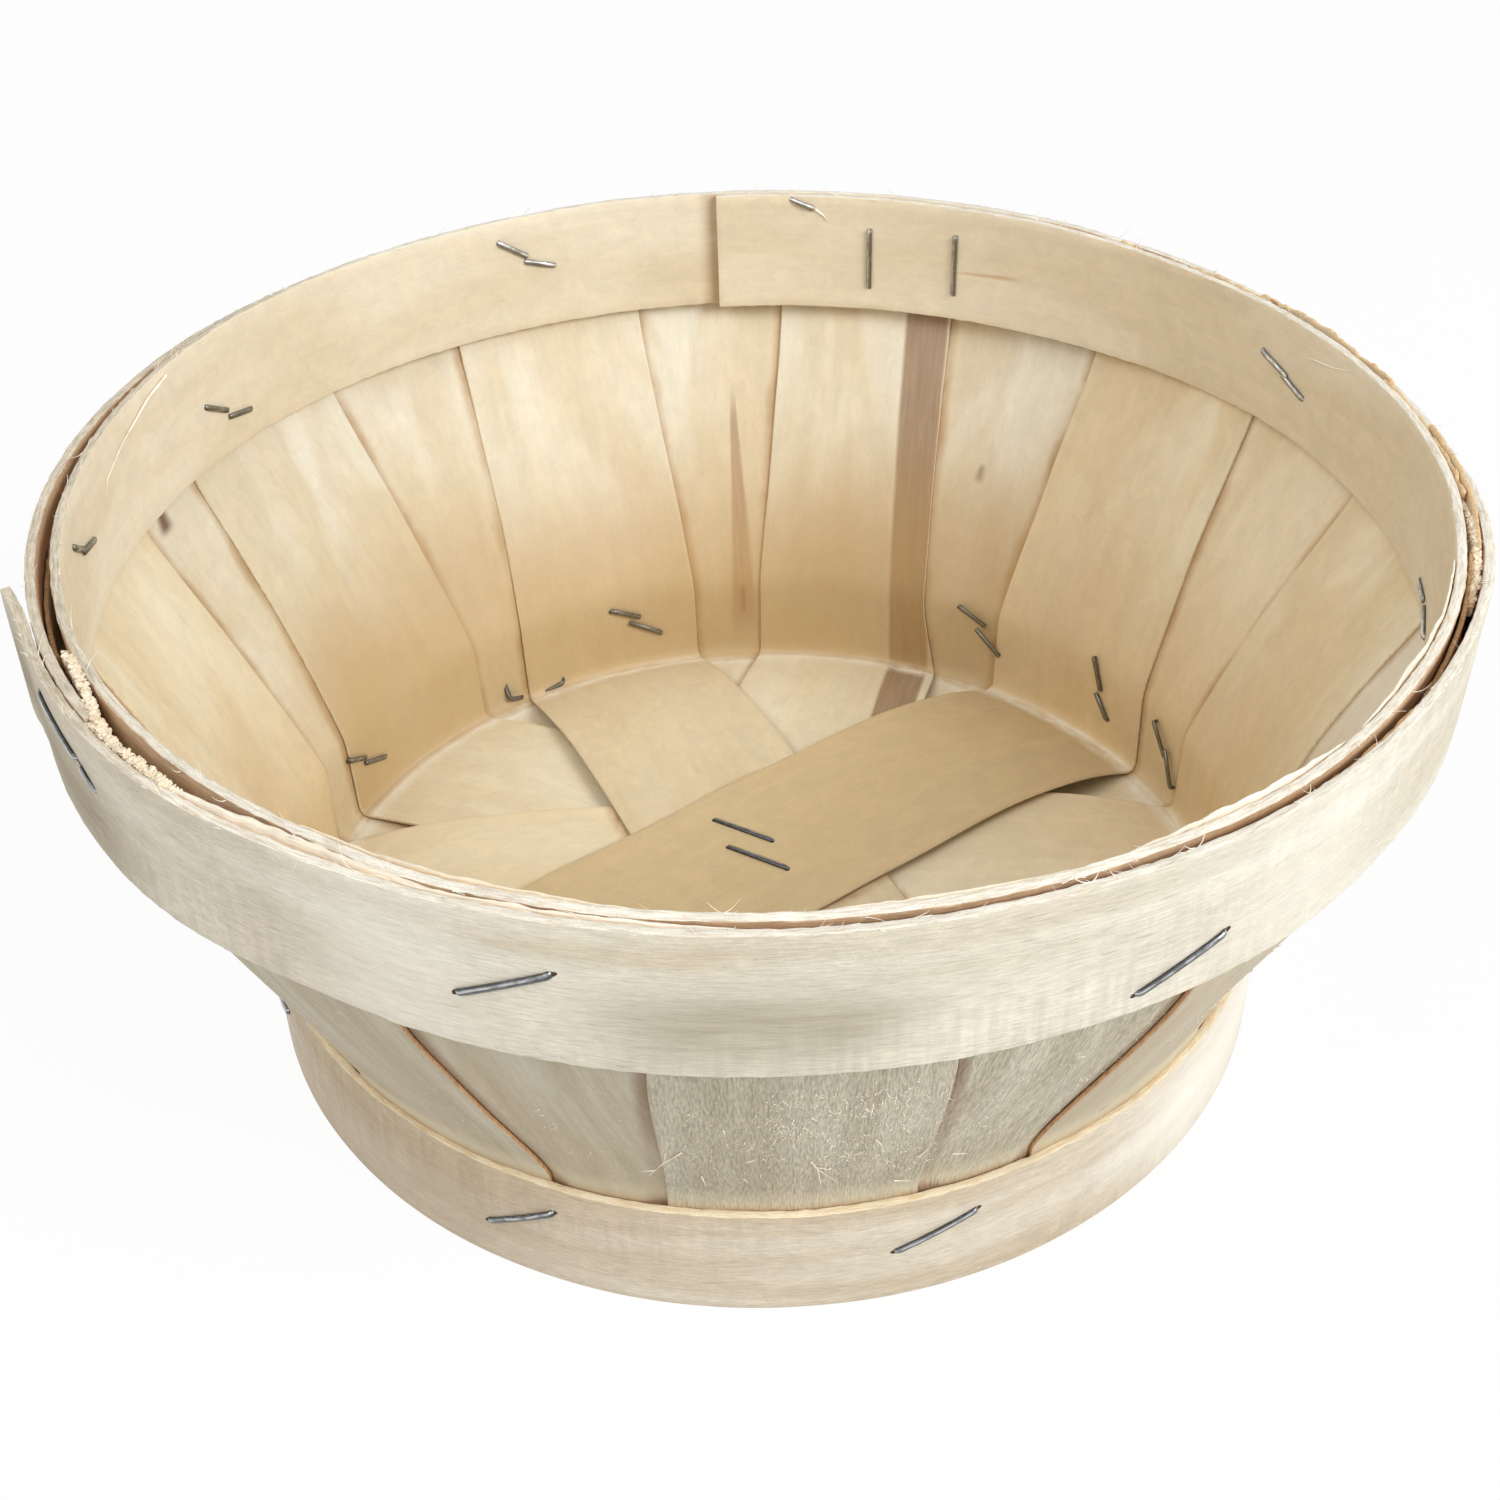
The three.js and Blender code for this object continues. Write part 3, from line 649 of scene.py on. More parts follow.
# Lays a strip up one wall, across the floor and up the other
class SplintPath:
    def __init__(self, layer):
        self.layer = layer
        self.tier = 0 if layer < outerCount else 1
        self.bend = [math.radians(angle) for angle in strips[layer]["bend"]]
        self.rim = [math.radians(angle) for angle in strips[layer]["rim"]]
        start = polar(foldStart, self.bend[0], 0)
        finish = polar(foldStart, self.bend[1], 0)
        self.along = (finish - start).normalized()
        self.left = Vector((0, 0, 1)).cross(self.along)
        self.axisOffset = start.dot(self.left)
        self.half = math.sqrt(foldStart ** 2 - self.axisOffset ** 2)

    def floorPoint(self, lane, share, depth):
        offset = self.axisOffset + lane
        point = self.left * offset + self.along * (share * math.sqrt(foldStart ** 2 - offset ** 2))
        stack = stackShare(point.x, point.y)
        height = self.layer * stack + self.tier * (1 - stack)
        return Vector((point.x, point.y, basket["floorLift"] + layerPitch * height + depth))

    def wallPoint(self, lane, side, distance, depth):
        point, inward = wallAt(distance)
        depth += self.tier * (basket["splintThickness"] + splints["tierGap"])
        radius = point.x + inward.x * depth
        end = 0 if side < 0 else 1
        centre = self.bend[end] + (self.rim[end] - self.bend[end]) * point.y / basket["height"]
        upright = centre + side * math.asin(lane / radius)
        foot = self.floorPoint(lane, side, 0)
        onFloor = math.atan2(foot.y, foot.x)
        turn = math.atan2(math.sin(upright - onFloor), math.cos(upright - onFloor))
        folded = min(1, (point.x - foldStart) / basket["foldRadius"])
        return polar(radius, onFloor + turn * folded, point.y + inward.y * depth)

    # Distance is signed, from the strip's middle
    def point(self, lane, distance, depth):
        if abs(distance) <= self.half:
            return self.floorPoint(lane, distance / self.half, depth)
        side = 1 if distance > 0 else -1
        return self.wallPoint(lane, side, abs(distance) - self.half, depth)


# A strip can be narrower or wider on one side near one end. A trim says which end and side, by which share
# (below 0 is wider), and between which places on the wall it comes in, in millimetres.
def trimmed(entry, distance, lane, onWall):
    for end, side, share, low, high in entry.get("trims", ()):
        if end * distance > 0 and side * lane > 0:
            lane *= 1 - share * smoothStep(onWall, low * mm, high * mm)
    return lane


# Points along the edges of the strips that lie over a strip, on its inside or its outside
def edgesOver(layer, inside, step=1.5 * mm):
    spots = [Vector((0, 0, 1))]     # far off, for a strip that none lies over
    tier = paths[layer].tier
    for other, path in enumerate(paths):
        reach = path.half + wallTop
        steps = round(2 * reach / step)
        for i in range(steps + 1):
            distance = (2 * i / steps - 1) * reach
            onFloor = abs(distance) < path.half
            if inside:
                covers = other > layer if onFloor else path.tier > tier
            else:
                covers = path.tier < tier and not onFloor
            if covers:
                for lane in (-splints["width"] / 2, splints["width"] / 2):
                    lane = trimmed(strips[other], distance, lane, abs(distance) - path.half)
                    spots.append(path.point(lane, distance, 0))
    tree = kdtree.KDTree(len(spots))
    for i, spot in enumerate(spots):
        tree.insert(spot, i)
    tree.balance()
    return tree


def makeSplint(layer):
    entry, path = strips[layer], paths[layer]
    half = splints["width"] / 2
    reach = path.half + wallTop
    rows = round(2 * reach / splints["rowStep"])
    seed = 7.3 * (layer + 1)
    shift = [step * layer for step in splints["grainStep"]]

    def spot(a, b):
        lane = (2 * a - 1) * half
        distance = (2 * b - 1) * reach
        onWall = abs(distance) - path.half
        end = 0 if b < 0.5 else 1
        # Uneven cut ends
        drop = entry["drop"][end] - aroundTable(stripTop, path.rim[end])
        drop += entry.get("slant", (0, 0))[end] * lane / half
        drop += 0.8 * wobble(lane * 500, seed + b) + 0.9 * wobble(lane * 60, seed + b)
        nearTop = smoothStep(onWall, wallTop - splints["endShape"], wallTop)
        distance -= math.copysign(drop * mm * nearTop, distance)
        if end == 0:
            lane *= 1 - entry.get("waist", 0) * hump(onWall, *splints["waistAt"])
        lane = trimmed(entry, distance, lane, onWall)
        edge = (abs(lane) / half) ** 6
        uneven = 0.35 * mm * wobble(distance * 45, seed, math.copysign(3, lane))
        return lane + math.copysign(edge, lane) * uneven, distance

    def place(a, b):
        lane, distance = spot(a, b)
        onWall = abs(distance) - path.half
        depth = 0.10 * mm * wobble(lane * 40, distance * 28, seed)
        # Between the hoops the edges stand off the next stave
        edge = (abs(lane) / half) ** 2.5
        uneven = 0.75 + 0.8 * wobble(distance * 9, seed, math.copysign(5, lane))
        depth += splints["lift"][path.tier] * hump(onWall, *splints["freeAt"]) * edge * max(0.2, uneven)
        if path.tier and onWall < 0:
            depth += splints["floorCurl"] * edge * smoothStep(-onWall, 4 * mm, 30 * mm) * max(0, uneven)
        elif path.tier and b < 0.5:
            # At the front the inner strips lie against the base hoop
            spread = path.point(lane, distance, depth)
            around = math.atan2(spread.y, spread.x)
            aside = min(abs(math.remainder(around - centre, 2 * math.pi)) for centre in outerCentres)
            pressed = hump(onWall, *splints["pressAt"]) * smoothStep(aside, *splints["pressBeside"])
            depth -= splints["press"] * pressed
        return path.point(lane, distance, depth)

    def grainAt(a, b):
        lane, distance = spot(a, b)
        return distance + shift[0], lane + shift[1]

    outside = dict(roughSide, seed=seed)
    outside.update(entry.get("outside", {}))
    inside = dict(insideLook, seed=seed + 2)
    if 55 < entry["rim"][1] < 150:
        inside.update(backLook)
    if entry["rim"][1] < 45:
        inside.update(rightLook)
    inside.update(entry.get("inside", {}))
    marks = splintMarks.get(layer, ())
    materials = [
        woodFinish(entry["name"] + "_outside", outside, marks, shift),
        woodFinish(entry["name"] + "_inside", inside, marks, shift),
        innerEdge if path.tier else outerEdge,
    ]
    edges = {"edgeInside": edgesOver(layer, True), "edgeOutside": edgesOver(layer, False)}
    sheet = bentSheet(entry["name"] + "_wood", splints["columns"], rows, place, grainAt,
                      basket["splintThickness"], materials, edges, splints["rounding"])
    finishPiece(sheet, [entry["name"]])


# Where a strip's wall reaches a height, as a distance from the strip's middle. All in millimetres.
def upTo(layer, side, height):
    near = min(range(len(wallPoints)), key=lambda i: abs(wallPoints[i].y - height * mm))
    return side * (paths[layer].half + wallLengths[near]) / mm


paths = [SplintPath(layer) for layer in range(len(strips))]
# Marks by strip, counted from 0: three knots, a long brown streak with a knot in it, and the brown band
splintMarks = {
    1: [{"span": (upTo(1, -1, 29.5), upTo(1, -1, 26.5)), "across": (7.2, 8.4), "width": (0.6, 1.5),
         "ragged": 0.5, "soft": 0.8, "fade": 1.2, "thin": 0.7, "seed": 17, "colour": "6a6254",
         "strength": 0.85}],
    2: [{"span": (upTo(2, 1, 57), upTo(2, 1, 51)), "across": (6.2, 6.6), "width": (1.4, 2.2),
         "ragged": 0.8, "soft": 1.0, "fade": 2, "thin": 0.7, "seed": 14, "colour": "7d5c30",
         "strength": 0.7}],
    3: [{"span": (upTo(3, 1, 81.5), upTo(3, 1, 89)), "across": (5.0, 3.2), "width": (4.6, 2.0),
         "ragged": 0.8, "soft": 0.9, "fade": 2.2, "thin": 0.9, "seed": 2, "colour": "5e341c",
         "strength": 0.9}],
    4: [{"span": (upTo(4, 1, 70), upTo(4, 1, 9)), "across": (-0.6, 0.4), "width": (0.5, 4.6),
         "ragged": 0.8, "soft": 0.5, "fade": 12, "thin": 0.75, "seed": 8, "colour": "966c4f",
         "strength": 0.7},
        {"span": (upTo(4, 1, 21), upTo(4, 1, 15)), "across": (0.2, 0.4), "width": (1.0, 1.0),
         "ragged": 0.6, "soft": 0.8, "fade": 2, "thin": 0.9, "seed": 12, "colour": "6e4a30",
         "strength": 0.7}],
    6: [{"span": (20, upTo(6, 1, basket["height"] / mm) + 10), "across": (-17.5, -12.0),
         "width": (5.2, 6.0), "ragged": 1.0, "soft": 0.22, "fade": 14, "thin": 0.85, "edge": (25, 60),
         "seed": 4, "colour": "84592f", "strength": 0.78}],
}
for layer in range(len(strips)):
    makeSplint(layer)
print("splints made")

# The three hoops. Start is the free end of the lap and turn the way the hoop runs from it. Start, lap and
# ease are degrees. Level, foot and press are tables for the top edge's and the lower edge's height, and for
# how far the top edge is pressed in.
even = {0: 0, 180: 0}
hoops = {
    "rim_hoop_outer": {
        "radius": basket["rimRadius"], "low": rimLow.z, "high": rimHigh.z, "start": 196.5, "turn": 1,
        "outward": 1, "lap": 19.5, "ease": 26, "spring": 2.0 * mm, "lean": -0.3 * mm, "seed": 3.1,
        "level": outerTop, "foot": outerFoot, "press": even, "rounding": 0.25 * mm,
    },
    "rim_hoop_inner": {
        "radius": staveRim - 2 * layerPitch, "low": innerLow.z, "high": innerHigh.z, "start": 93, "turn": -1,
        "outward": -1, "lap": 35, "ease": 24, "spring": 0, "lean": 1.4 * mm, "seed": 5.7,
        "level": innerTop, "foot": even, "press": even, "rounding": 0.4 * mm,
    },
    "base_hoop": {
        "radius": basket["baseRadius"], "low": baseLow.z, "high": baseHigh.z, "start": 20, "turn": 1,
        "outward": 1, "lap": 38, "ease": 26, "spring": 0, "lean": 0, "seed": 9.4,
        "level": even, "foot": even, "press": basePinch, "rounding": 0.25 * mm,
    },
}
# All hoops: columns along the wood, degrees of the free end that spring away, degrees past the lap before it
# eases back, and how far its sawn edges are rough and by how much
hoopForm = {"columnStep": 1.5 * mm, "springSpan": 6.5, "lapMargin": 2, "roughReach": 0.9 * mm,
            "roughness": 0.16 * mm}
# Marks on the hoops' outside. On the outer hoop the grey patch and the thin line are the wood's own, the two
# pale patches at the front are painted light, and the dark patch at the left, the shaded side, is painted
# shade. On the base hoop the dark patch at the left is painted shade and the pale one at the right painted
# light
hoopMarks = {
    "rim_hoop_outer": [
        {"span": (132, 200), "across": (8, 10), "width": (15, 11), "ragged": 8, "soft": 1.0, "fade": 26,
         "thin": 0.75, "edge": (22, 45), "seed": 5, "colour": "9c927b", "strength": 0.85},
        {"span": (86, 132), "across": (12, 10), "width": (30, 24), "ragged": 8, "soft": 1.0, "fade": 28,
         "thin": 0.5, "edge": (12, 130), "seed": 8, "colour": "f0ece2", "strength": 0.7},
        {"span": (222, 285), "across": (10, 12), "width": (26, 30), "ragged": 6, "soft": 1.0, "fade": 34,
         "thin": 0.85, "edge": (14, 110), "seed": 11, "colour": "f5f1e6", "strength": 0.35},
        {"span": (118, 172), "across": (21, 22), "width": (3, 4), "ragged": 3, "soft": 1.0, "fade": 18,
         "thin": 0.5, "edge": (20, 200), "seed": 6, "colour": "b9a078", "strength": 0.5},
        {"span": (-40, 72), "across": (12, 6), "width": (30, 14), "ragged": 8, "soft": 1.0, "fade": 30,
         "thin": 0.8, "edge": (14, 110), "seed": 7, "colour": "93856d", "strength": 0.95},
    ],
    "base_hoop": [
        {"span": (320, 420), "across": (12, 12), "width": (30, 22), "ragged": 6, "soft": 1.0, "fade": 34,
         "thin": 0.9, "edge": (14, 110), "seed": 9, "colour": "a08a6c", "strength": 0.4},
        {"span": (500, 640), "across": (12, 12), "width": (26, 30), "ragged": 6, "soft": 1.0, "fade": 40,
         "thin": 0.9, "edge": (14, 110), "seed": 10, "colour": "f4f1e8", "strength": 0.65},
    ],
}
# Marks on the inner hoop's inside: painted shade beside the visible end of its lap, and a short brown line
lapEnd = 2 * math.pi * hoops["rim_hoop_inner"]["radius"] / mm
innerMarks = [
    {"span": (lapEnd - 5, lapEnd + 3), "across": (12.7, 12.7), "width": (20, 20), "ragged": 0, "soft": 0.1,
     "fade": 4, "thin": 0.8, "seed": 3, "colour": "a88458", "strength": 0.6},
    {"span": (56, 76), "across": (11, 12.2), "width": (0.5, 0.7), "ragged": 0.8, "soft": 1.0, "fade": 6,
     "thin": 0.6, "seed": 16, "colour": "bb8440", "strength": 0.6},
]
# Looks of each hoop's outside and inside
hoopLooks = {
    "rim_hoop_outer": (hoopSide, hiddenSide),
    "rim_hoop_inner": (hiddenSide, dict(smoothSide, pale="eae0ca", honey="d8c5a3", honeyBelow=-1,
                                        paleAbove=-0.5, cloudAmount=0.45, seamShade=0, foldHighlight=0, foot=0)),
    "base_hoop": (dict(hoopSide, pale="d0c7b6", honey="beae96", blush="cbb9a3", crease=0.1), hiddenSide),
}


# Radius of a hoop's outer face, at so many degrees from its free end
def hoopFace(hoop, travelled):
    step = hoop["outward"] * (basket["hoopThickness"] + basket["clearance"])
    easing = hoop["lap"] + hoopForm["lapMargin"]
    lapped = 1 - smoothStep(travelled, easing, easing + hoop["ease"])
    sprung = max(0, 1 - travelled / hoopForm["springSpan"]) ** 2
    return hoop["radius"] + step * lapped + hoop["outward"] * hoop["spring"] * sprung


def hoopFaceAt(hoop, angle):
    return hoopFace(hoop, (hoop["turn"] * (math.degrees(angle) - hoop["start"])) % 360)


def hoopEdgeHeight(hoop, angle, top):
    seed = hoop["seed"] + (20 if top else 0)
    x, y = math.cos(angle), math.sin(angle)
    slow = 0.32 * mm * wobble(2.2 * x, 2.2 * y, seed)
    quick = 0.16 * mm * wobble(13 * x, 13 * y, seed + 5) + 0.10 * mm * wobble(60 * x, 60 * y, seed + 8)
    if top:
        return hoop["high"] + slow + quick + aroundTable(hoop["level"], angle) * mm
    return hoop["low"] + 0.5 * (slow + quick) + aroundTable(hoop["foot"], angle) * mm


def makeHoop(name):
    hoop = hoops[name]
    standing = name == "base_hoop"
    sweep = 360 + hoop["lap"]
    columns = round(math.radians(sweep) * hoop["radius"] / hoopForm["columnStep"])

    def travelledAt(a):
        return sweep * (a if hoop["turn"] > 0 else 1 - a)

    def place(a, b):
        travelled = travelledAt(a)
        angle = math.radians(hoop["start"] + hoop["turn"] * travelled)
        low = hoop["low"] if standing else hoopEdgeHeight(hoop, angle, False)
        high = hoopEdgeHeight(hoop, angle, True)
        radius = hoopFace(hoop, travelled)
        radius += 0.12 * mm * wobble(5 * math.cos(angle), 5 * math.sin(angle), hoop["seed"] + b)
        # The top edge leans, and on the base hoop it is pressed in
        radius += hoop["lean"] * aroundTable(rimPinch, angle) * b ** 5
        radius -= aroundTable(hoop["press"], angle) * mm * b ** 6
        return polar(radius, angle, low + (high - low) * b)

    def grainAt(a, b):
        return (math.radians(travelledAt(a)) * hoop["radius"] + hoop["seed"],
                b * (hoop["high"] - hoop["low"]) + hoop["seed"])

    outside, inside = hoopLooks[name]
    shift = (hoop["seed"], hoop["seed"])
    materials = [
        woodFinish(name + "_outside", dict(outside, seed=hoop["seed"]), hoopMarks.get(name, ()), shift),
        woodFinish(name + "_inside", dict(inside, seed=hoop["seed"] + 2),
                   innerMarks if name == "rim_hoop_inner" else (), shift),
        baseEdge if standing else hoopEdge,
    ]
    sheet = bentSheet(name + "_wood", columns, 12, place, grainAt, basket["hoopThickness"], materials,
                      rounding=hoop["rounding"])
    # Sawn edges are a little rough, apart from the one that the basket stands on
    for vertex in sheet.data.vertices:
        away = min(abs(vertex.co.z - hoop["high"]), abs(vertex.co.z - hoop["low"]))
        if away < hoopForm["roughReach"] and not (standing and vertex.co.z < 1 * mm):
            vertex.co += noise.noise_vector(vertex.co * 900) * hoopForm["roughness"]
    finishPiece(sheet, [name])


for name in hoops:
    makeHoop(name)
print("hoops made")

# Staples: wire flattened to width and thickness. Rim staples are given by angle, distance below the rim and
# tilt of the crown, base ones by angle, height and tilt, lap ones by angle and height above the inner hoop's
# lower edge, and floor ones by the two ends of the crown. Angles are degrees and places millimetres.
staples = {
    "width": 1.25 * mm,
    "thickness": 0.8 * mm,
    "stand": 0.3 * mm,          # middle of the wire above the wood
    "crown": 16 * mm,
    "clinch": 8.3 * mm,
    "clinchTurn": math.radians(8),
    "corner": 0.9 * mm,         # length of wire on each side that a corner rounds
    "blunt": 0.15 * mm,
    "flatness": 2.4,            # 2 would be an oval section, more is squarer
    "pit": {"radius": 0.8 * mm, "beyond": 0.25 * mm, "proud": 0.03 * mm, "flat": 0.6},
    "shown": {7: 0.3},          # rim staples sunk into the wood: share of the crown that shows
    "rim": [(26, 12.8, 25), (85.5, 5, 8), (113.7, 7.8, 33), (152.6, 16.2, 30), (182.5, 11.4, 30),
            (212, 5.9, -13), (219, 12.3, -29), (253.4, 12.6, 25), (297, 19.9, 21), (349, 21.8, 25)],
    "lap": [(76.2, 12.6), (66.6, 13.2)],
    "lapCrown": 14.4 * mm,
    "base": [(23.5, 12, 48), (36.5, 16.5, 50), (57, 14.5, 43), (107, 13.5, 39), (124, 12.5, 20),
             (153.6, 13.5, 34), (200, 13.5, 28), (244, 14, 31), (286, 15, 21), (347, 13.5, 26)],
    "floor": [((-10.5, 18.5), (2.5, 10.5)), ((-7.5, 9), (5.5, 1))],
    # Angle and height of each point, and how far it is sunk into the inner hoop
    "tip": [(84.9, 114.6, -0.6), (84.3, 114.3, 0.2), (82.8, 112.9, 0.2), (82.5, 112.5, -0.3)],
    # Where the legs come out inside, if not straight behind the crown: angle, height and tilt as above,
    # then each leg's turn and length
    "inside": {
        "rim_02": (85.5, 108.8, 8, 0, 0, 0, 0),
        "rim_01": (25.5, 101.3, 19, -1, -1, 7.6, 8.8),
        "rim_03": (114.0, 106.6, 30, -12, 4, 7.5, 8.0),
        "rim_04": (152.6, 98.1, 25, -14, 5, 7.3, 7.4),
        "rim_05": (183.8, 104.6, 24, -9, 10, 8.9, 6.3),
        "rim_10": (350.4, 90.6, 11, 9, -8, 7.0, 6.8),
        "base_01": (21.3, 15.7, 51, 13, -3, 9.1, 8.4),
        "base_02": (35.1, 19.6, 67, -15, 3, 7.0, 8.3),
        "base_03": (56.3, 20.2, 41, -1, -16, 8.4, 8.2),
        "base_04": (107.5, 17.7, 35, -5, -10, 9.0, 8.2),
        "base_05": (123.6, 6.0, 4, -14, 10, 5.4, 3.6),
        "base_06": (155.5, 17.0, 30, -6, -2, 8.4, 6.8),
    },
    # Rim staples whose legs inside have the sky-lit steel, painted reflection
    "bright": (1, 3, 10),       # rim staples whose legs are bright inside
}


def stapleFinish(name, dark, light, worn, metal, highlightColour, gleam):
    finish = Finish(name)
    where = finish.place()
    # Painted highlight: a bright line along the wire's upper side; painted shade: a dark one along its lower
    # side
    around = finish.math("FRACT", finish.times(finish.split(finish.map("wire"))[0], 2))
    drift = finish.range(finish.noise(where, 180, 1), 0.3, 0.7, -0.05, 0.05)
    upper = finish.range(finish.awayFrom(finish.plus(around, drift), 0.36), 0.16, 0.05, 0, gleam, smooth=True)
    upper = finish.times(upper, finish.range(finish.noise(where, 420, 2), 0.38, 0.55, 0.35, 1))
    lower = finish.range(around, 0.6, 0.78, 0, 0.7, smooth=True)
    scuff = finish.noise(where, 1100, 3, 0.6)
    broad = finish.noise(where, 150, 2)
    bare = finish.times(finish.range(scuff, 0.42, 0.62), finish.range(broad, 0.4, 0.6, 0.3, 1))
    colour = finish.mix(paint(dark), paint(light), finish.times(bare, worn))
    colour = finish.mix(colour, finish.shade(colour, 0.3), lower)
    finish.surface({
        "Base Color": finish.mix(colour, paint(highlightColour), upper),
        "Roughness": finish.range(broad, 0.35, 0.65, 0.2, 0.36),
        "Normal": finish.bump(scuff, 0.15, 0.03 * mm),
        "Metallic": metal,
        "Coat Weight": 0.6,
        "Coat Roughness": 0.1,
    })
    return finish.material


stapleSteel = stapleFinish("staple_steel", "47494c", "7d7f80", 0.5, 0.9, "d4d5d3", 0.75)
# Legs inside the basket: the same steel made lighter, painted reflection of the bright sky
skyLitSteel = stapleFinish("sky_lit_steel", "7c7d7a", "b4b4ae", 0.6, 0.5, "fafafa", 1.0)
dullSteel = stapleFinish("dull_steel", "5c5546", "857d6b", 0.5, 0.2, "9d9684", 0.35)
lapSteel = stapleFinish("lap_steel", "7b7466", "aca494", 0.5, 0.3, "d6d2c6", 0.6)


# Flattened wire through a few corners, each rounded. Side is the wire's broad direction.
# Nearer to the basket's axis than inside, it has the sky-lit steel, lighter as painted reflection
def wirePiece(name, corners, node, side, inside=0, bent=skyLitSteel):
    route = [corners[0]]
    for before, corner, after in zip(corners, corners[1:], corners[2:]):
        reach = min(staples["corner"], (corner - before).length * 0.45, (after - corner).length * 0.45)
        start = corner + (before - corner).normalized() * reach
        end = corner + (after - corner).normalized() * reach
        for i in range(4):
            t = i / 3
            route.append(start.lerp(corner, t).lerp(corner.lerp(end, t), t))
    route.append(corners[-1])
    # Blunt ends: each closes in two steps
    first = route[0] + (route[0] - route[1]).normalized() * staples["blunt"]
    last = route[-1] + (route[-1] - route[-2]).normalized() * staples["blunt"]
    stations = [(first, 0), (first, 0.6), *((point, 1) for point in route), (last, 0.6), (last, 0)]
    lastRow = len(stations) - 1
    bpy.ops.mesh.primitive_grid_add(x_subdivisions=10, y_subdivisions=lastRow, size=2)
    piece = bpy.context.object
    piece.name = name
    piece.data.name = name
    piece.data.uv_layers[0].name = "wire"
    power = staples["flatness"]
    for vertex in piece.data.vertices:
        turn = math.pi * vertex.co.x
        row = round((vertex.co.y + 1) / 2 * lastRow)
        centre, scale = stations[row]
        tangent = (stations[min(row + 1, lastRow)][0] - stations[max(row - 1, 0)][0]).normalized()
        thick = tangent.cross(side).normalized()
        broad = thick.cross(tangent)
        c, d = math.cos(turn), math.sin(turn)
        flat = scale * (abs(c) ** power + abs(d) ** power) ** (-1 / power)
        vertex.co = centre + flat * (broad * c * staples["width"] + thick * d * staples["thickness"]) / 2
    activate(piece)
    bpy.ops.object.mode_set(mode="EDIT")
    bpy.ops.mesh.select_all(action="SELECT")
    bpy.ops.mesh.remove_doubles(threshold=0.002 * mm)
    bpy.ops.mesh.normals_make_consistent(inside=False)
    bpy.ops.object.mode_set(mode="OBJECT")
    piece.data.materials.append(stapleSteel)
    piece.data.materials.append(bent)
    for face in piece.data.polygons:
        face.material_index = 1 if math.hypot(face.center.x, face.center.y) < inside else 0
    finishPiece(piece, [node] if node else [], 60)


# The face of a hoop that shows, over its lap
def hoopOutside(name, angle):
    hoop = hoops[name]
    face = hoopFaceAt(hoop, angle)
    if hoop["outward"] > 0:
        return max(face, hoop["radius"])
    return min(face, hoop["radius"]) - basket["hoopThickness"]


# A staple through the wall, with its middle at an angle and a height. Inside, its legs come out straight
# behind the crown, or as the table of staples says.
def wallStaple(name, node, at, height, tilt, crownFace, clinchFace, crownSign=1, shown=1,
               length=staples["crown"], inside=None, steel=dullSteel):
    stand = staples["stand"] * crownSign
    middle = math.radians(at)
    lean = math.radians(tilt)
    half = length / 2
    around = crownFace(middle)

    def onCrown(share, offset):
        angle = middle + share * half * math.cos(lean) / around
        return polar(crownFace(angle) + offset, angle, height + share * half * math.sin(lean))

    turn, clinch = math.degrees(staples["clinchTurn"]), staples["clinch"] / mm
    behind, rise, slope, *turns = inside or (at, height / mm, tilt, turn, turn, clinch, clinch)
    lengths = turns[2:]
    slope = math.radians(slope)
    legs = []
    for end in (-1, 1):
        angle = math.radians(behind) + end * half * math.cos(slope) / around
        out = -stand if lengths[0] else stand + 0.5 * mm
        legs.append(polar(clinchFace(angle) + out, angle, rise * mm + end * half * math.sin(slope)))
    crown = [onCrown(share, stand) for share in (-1, -0.5, 0, 0.5, 1)]
    side = (crown[-1] - crown[0]).cross(polar(1, middle, 0)).normalized()
    if shown < 1:
        # The rest of the crown dives into the wood
        crown = [onCrown(share, offset) for share, offset in (
            (-1, stand), (shown - 1, stand), (2 * shown - 1, 0), (2 * shown - 0.9, -1 * mm), (1, -1 * mm))]
    corners = [legs[0], *crown, legs[1]]
    if crownSign > 0 and lengths[0]:
        # Each leg is folded flat against the face inside
        folded = []
        for leg, turn, long, way in zip(legs, turns, lengths, (0, math.pi)):
            direction = slope + math.radians(turn) + way
            angle = math.atan2(leg.y, leg.x)
            angle += long * mm * math.cos(direction) / clinchFace(angle)
            folded.append(polar(clinchFace(angle) - stand, angle, leg.z + long * mm * math.sin(direction)))
        corners = [folded[0], *corners, folded[1]]
    wirePiece(name, corners, node, side, clinchFace(middle) - 0.1 * mm, steel)


def rimOutside(angle):
    return hoopOutside("rim_hoop_outer", angle)


def rimInside(angle):
    return hoopOutside("rim_hoop_inner", angle)


def baseOutside(angle):
    return hoopOutside("base_hoop", angle)


def baseInside(angle):
    return staveBase - layerPitch - basket["splintThickness"]
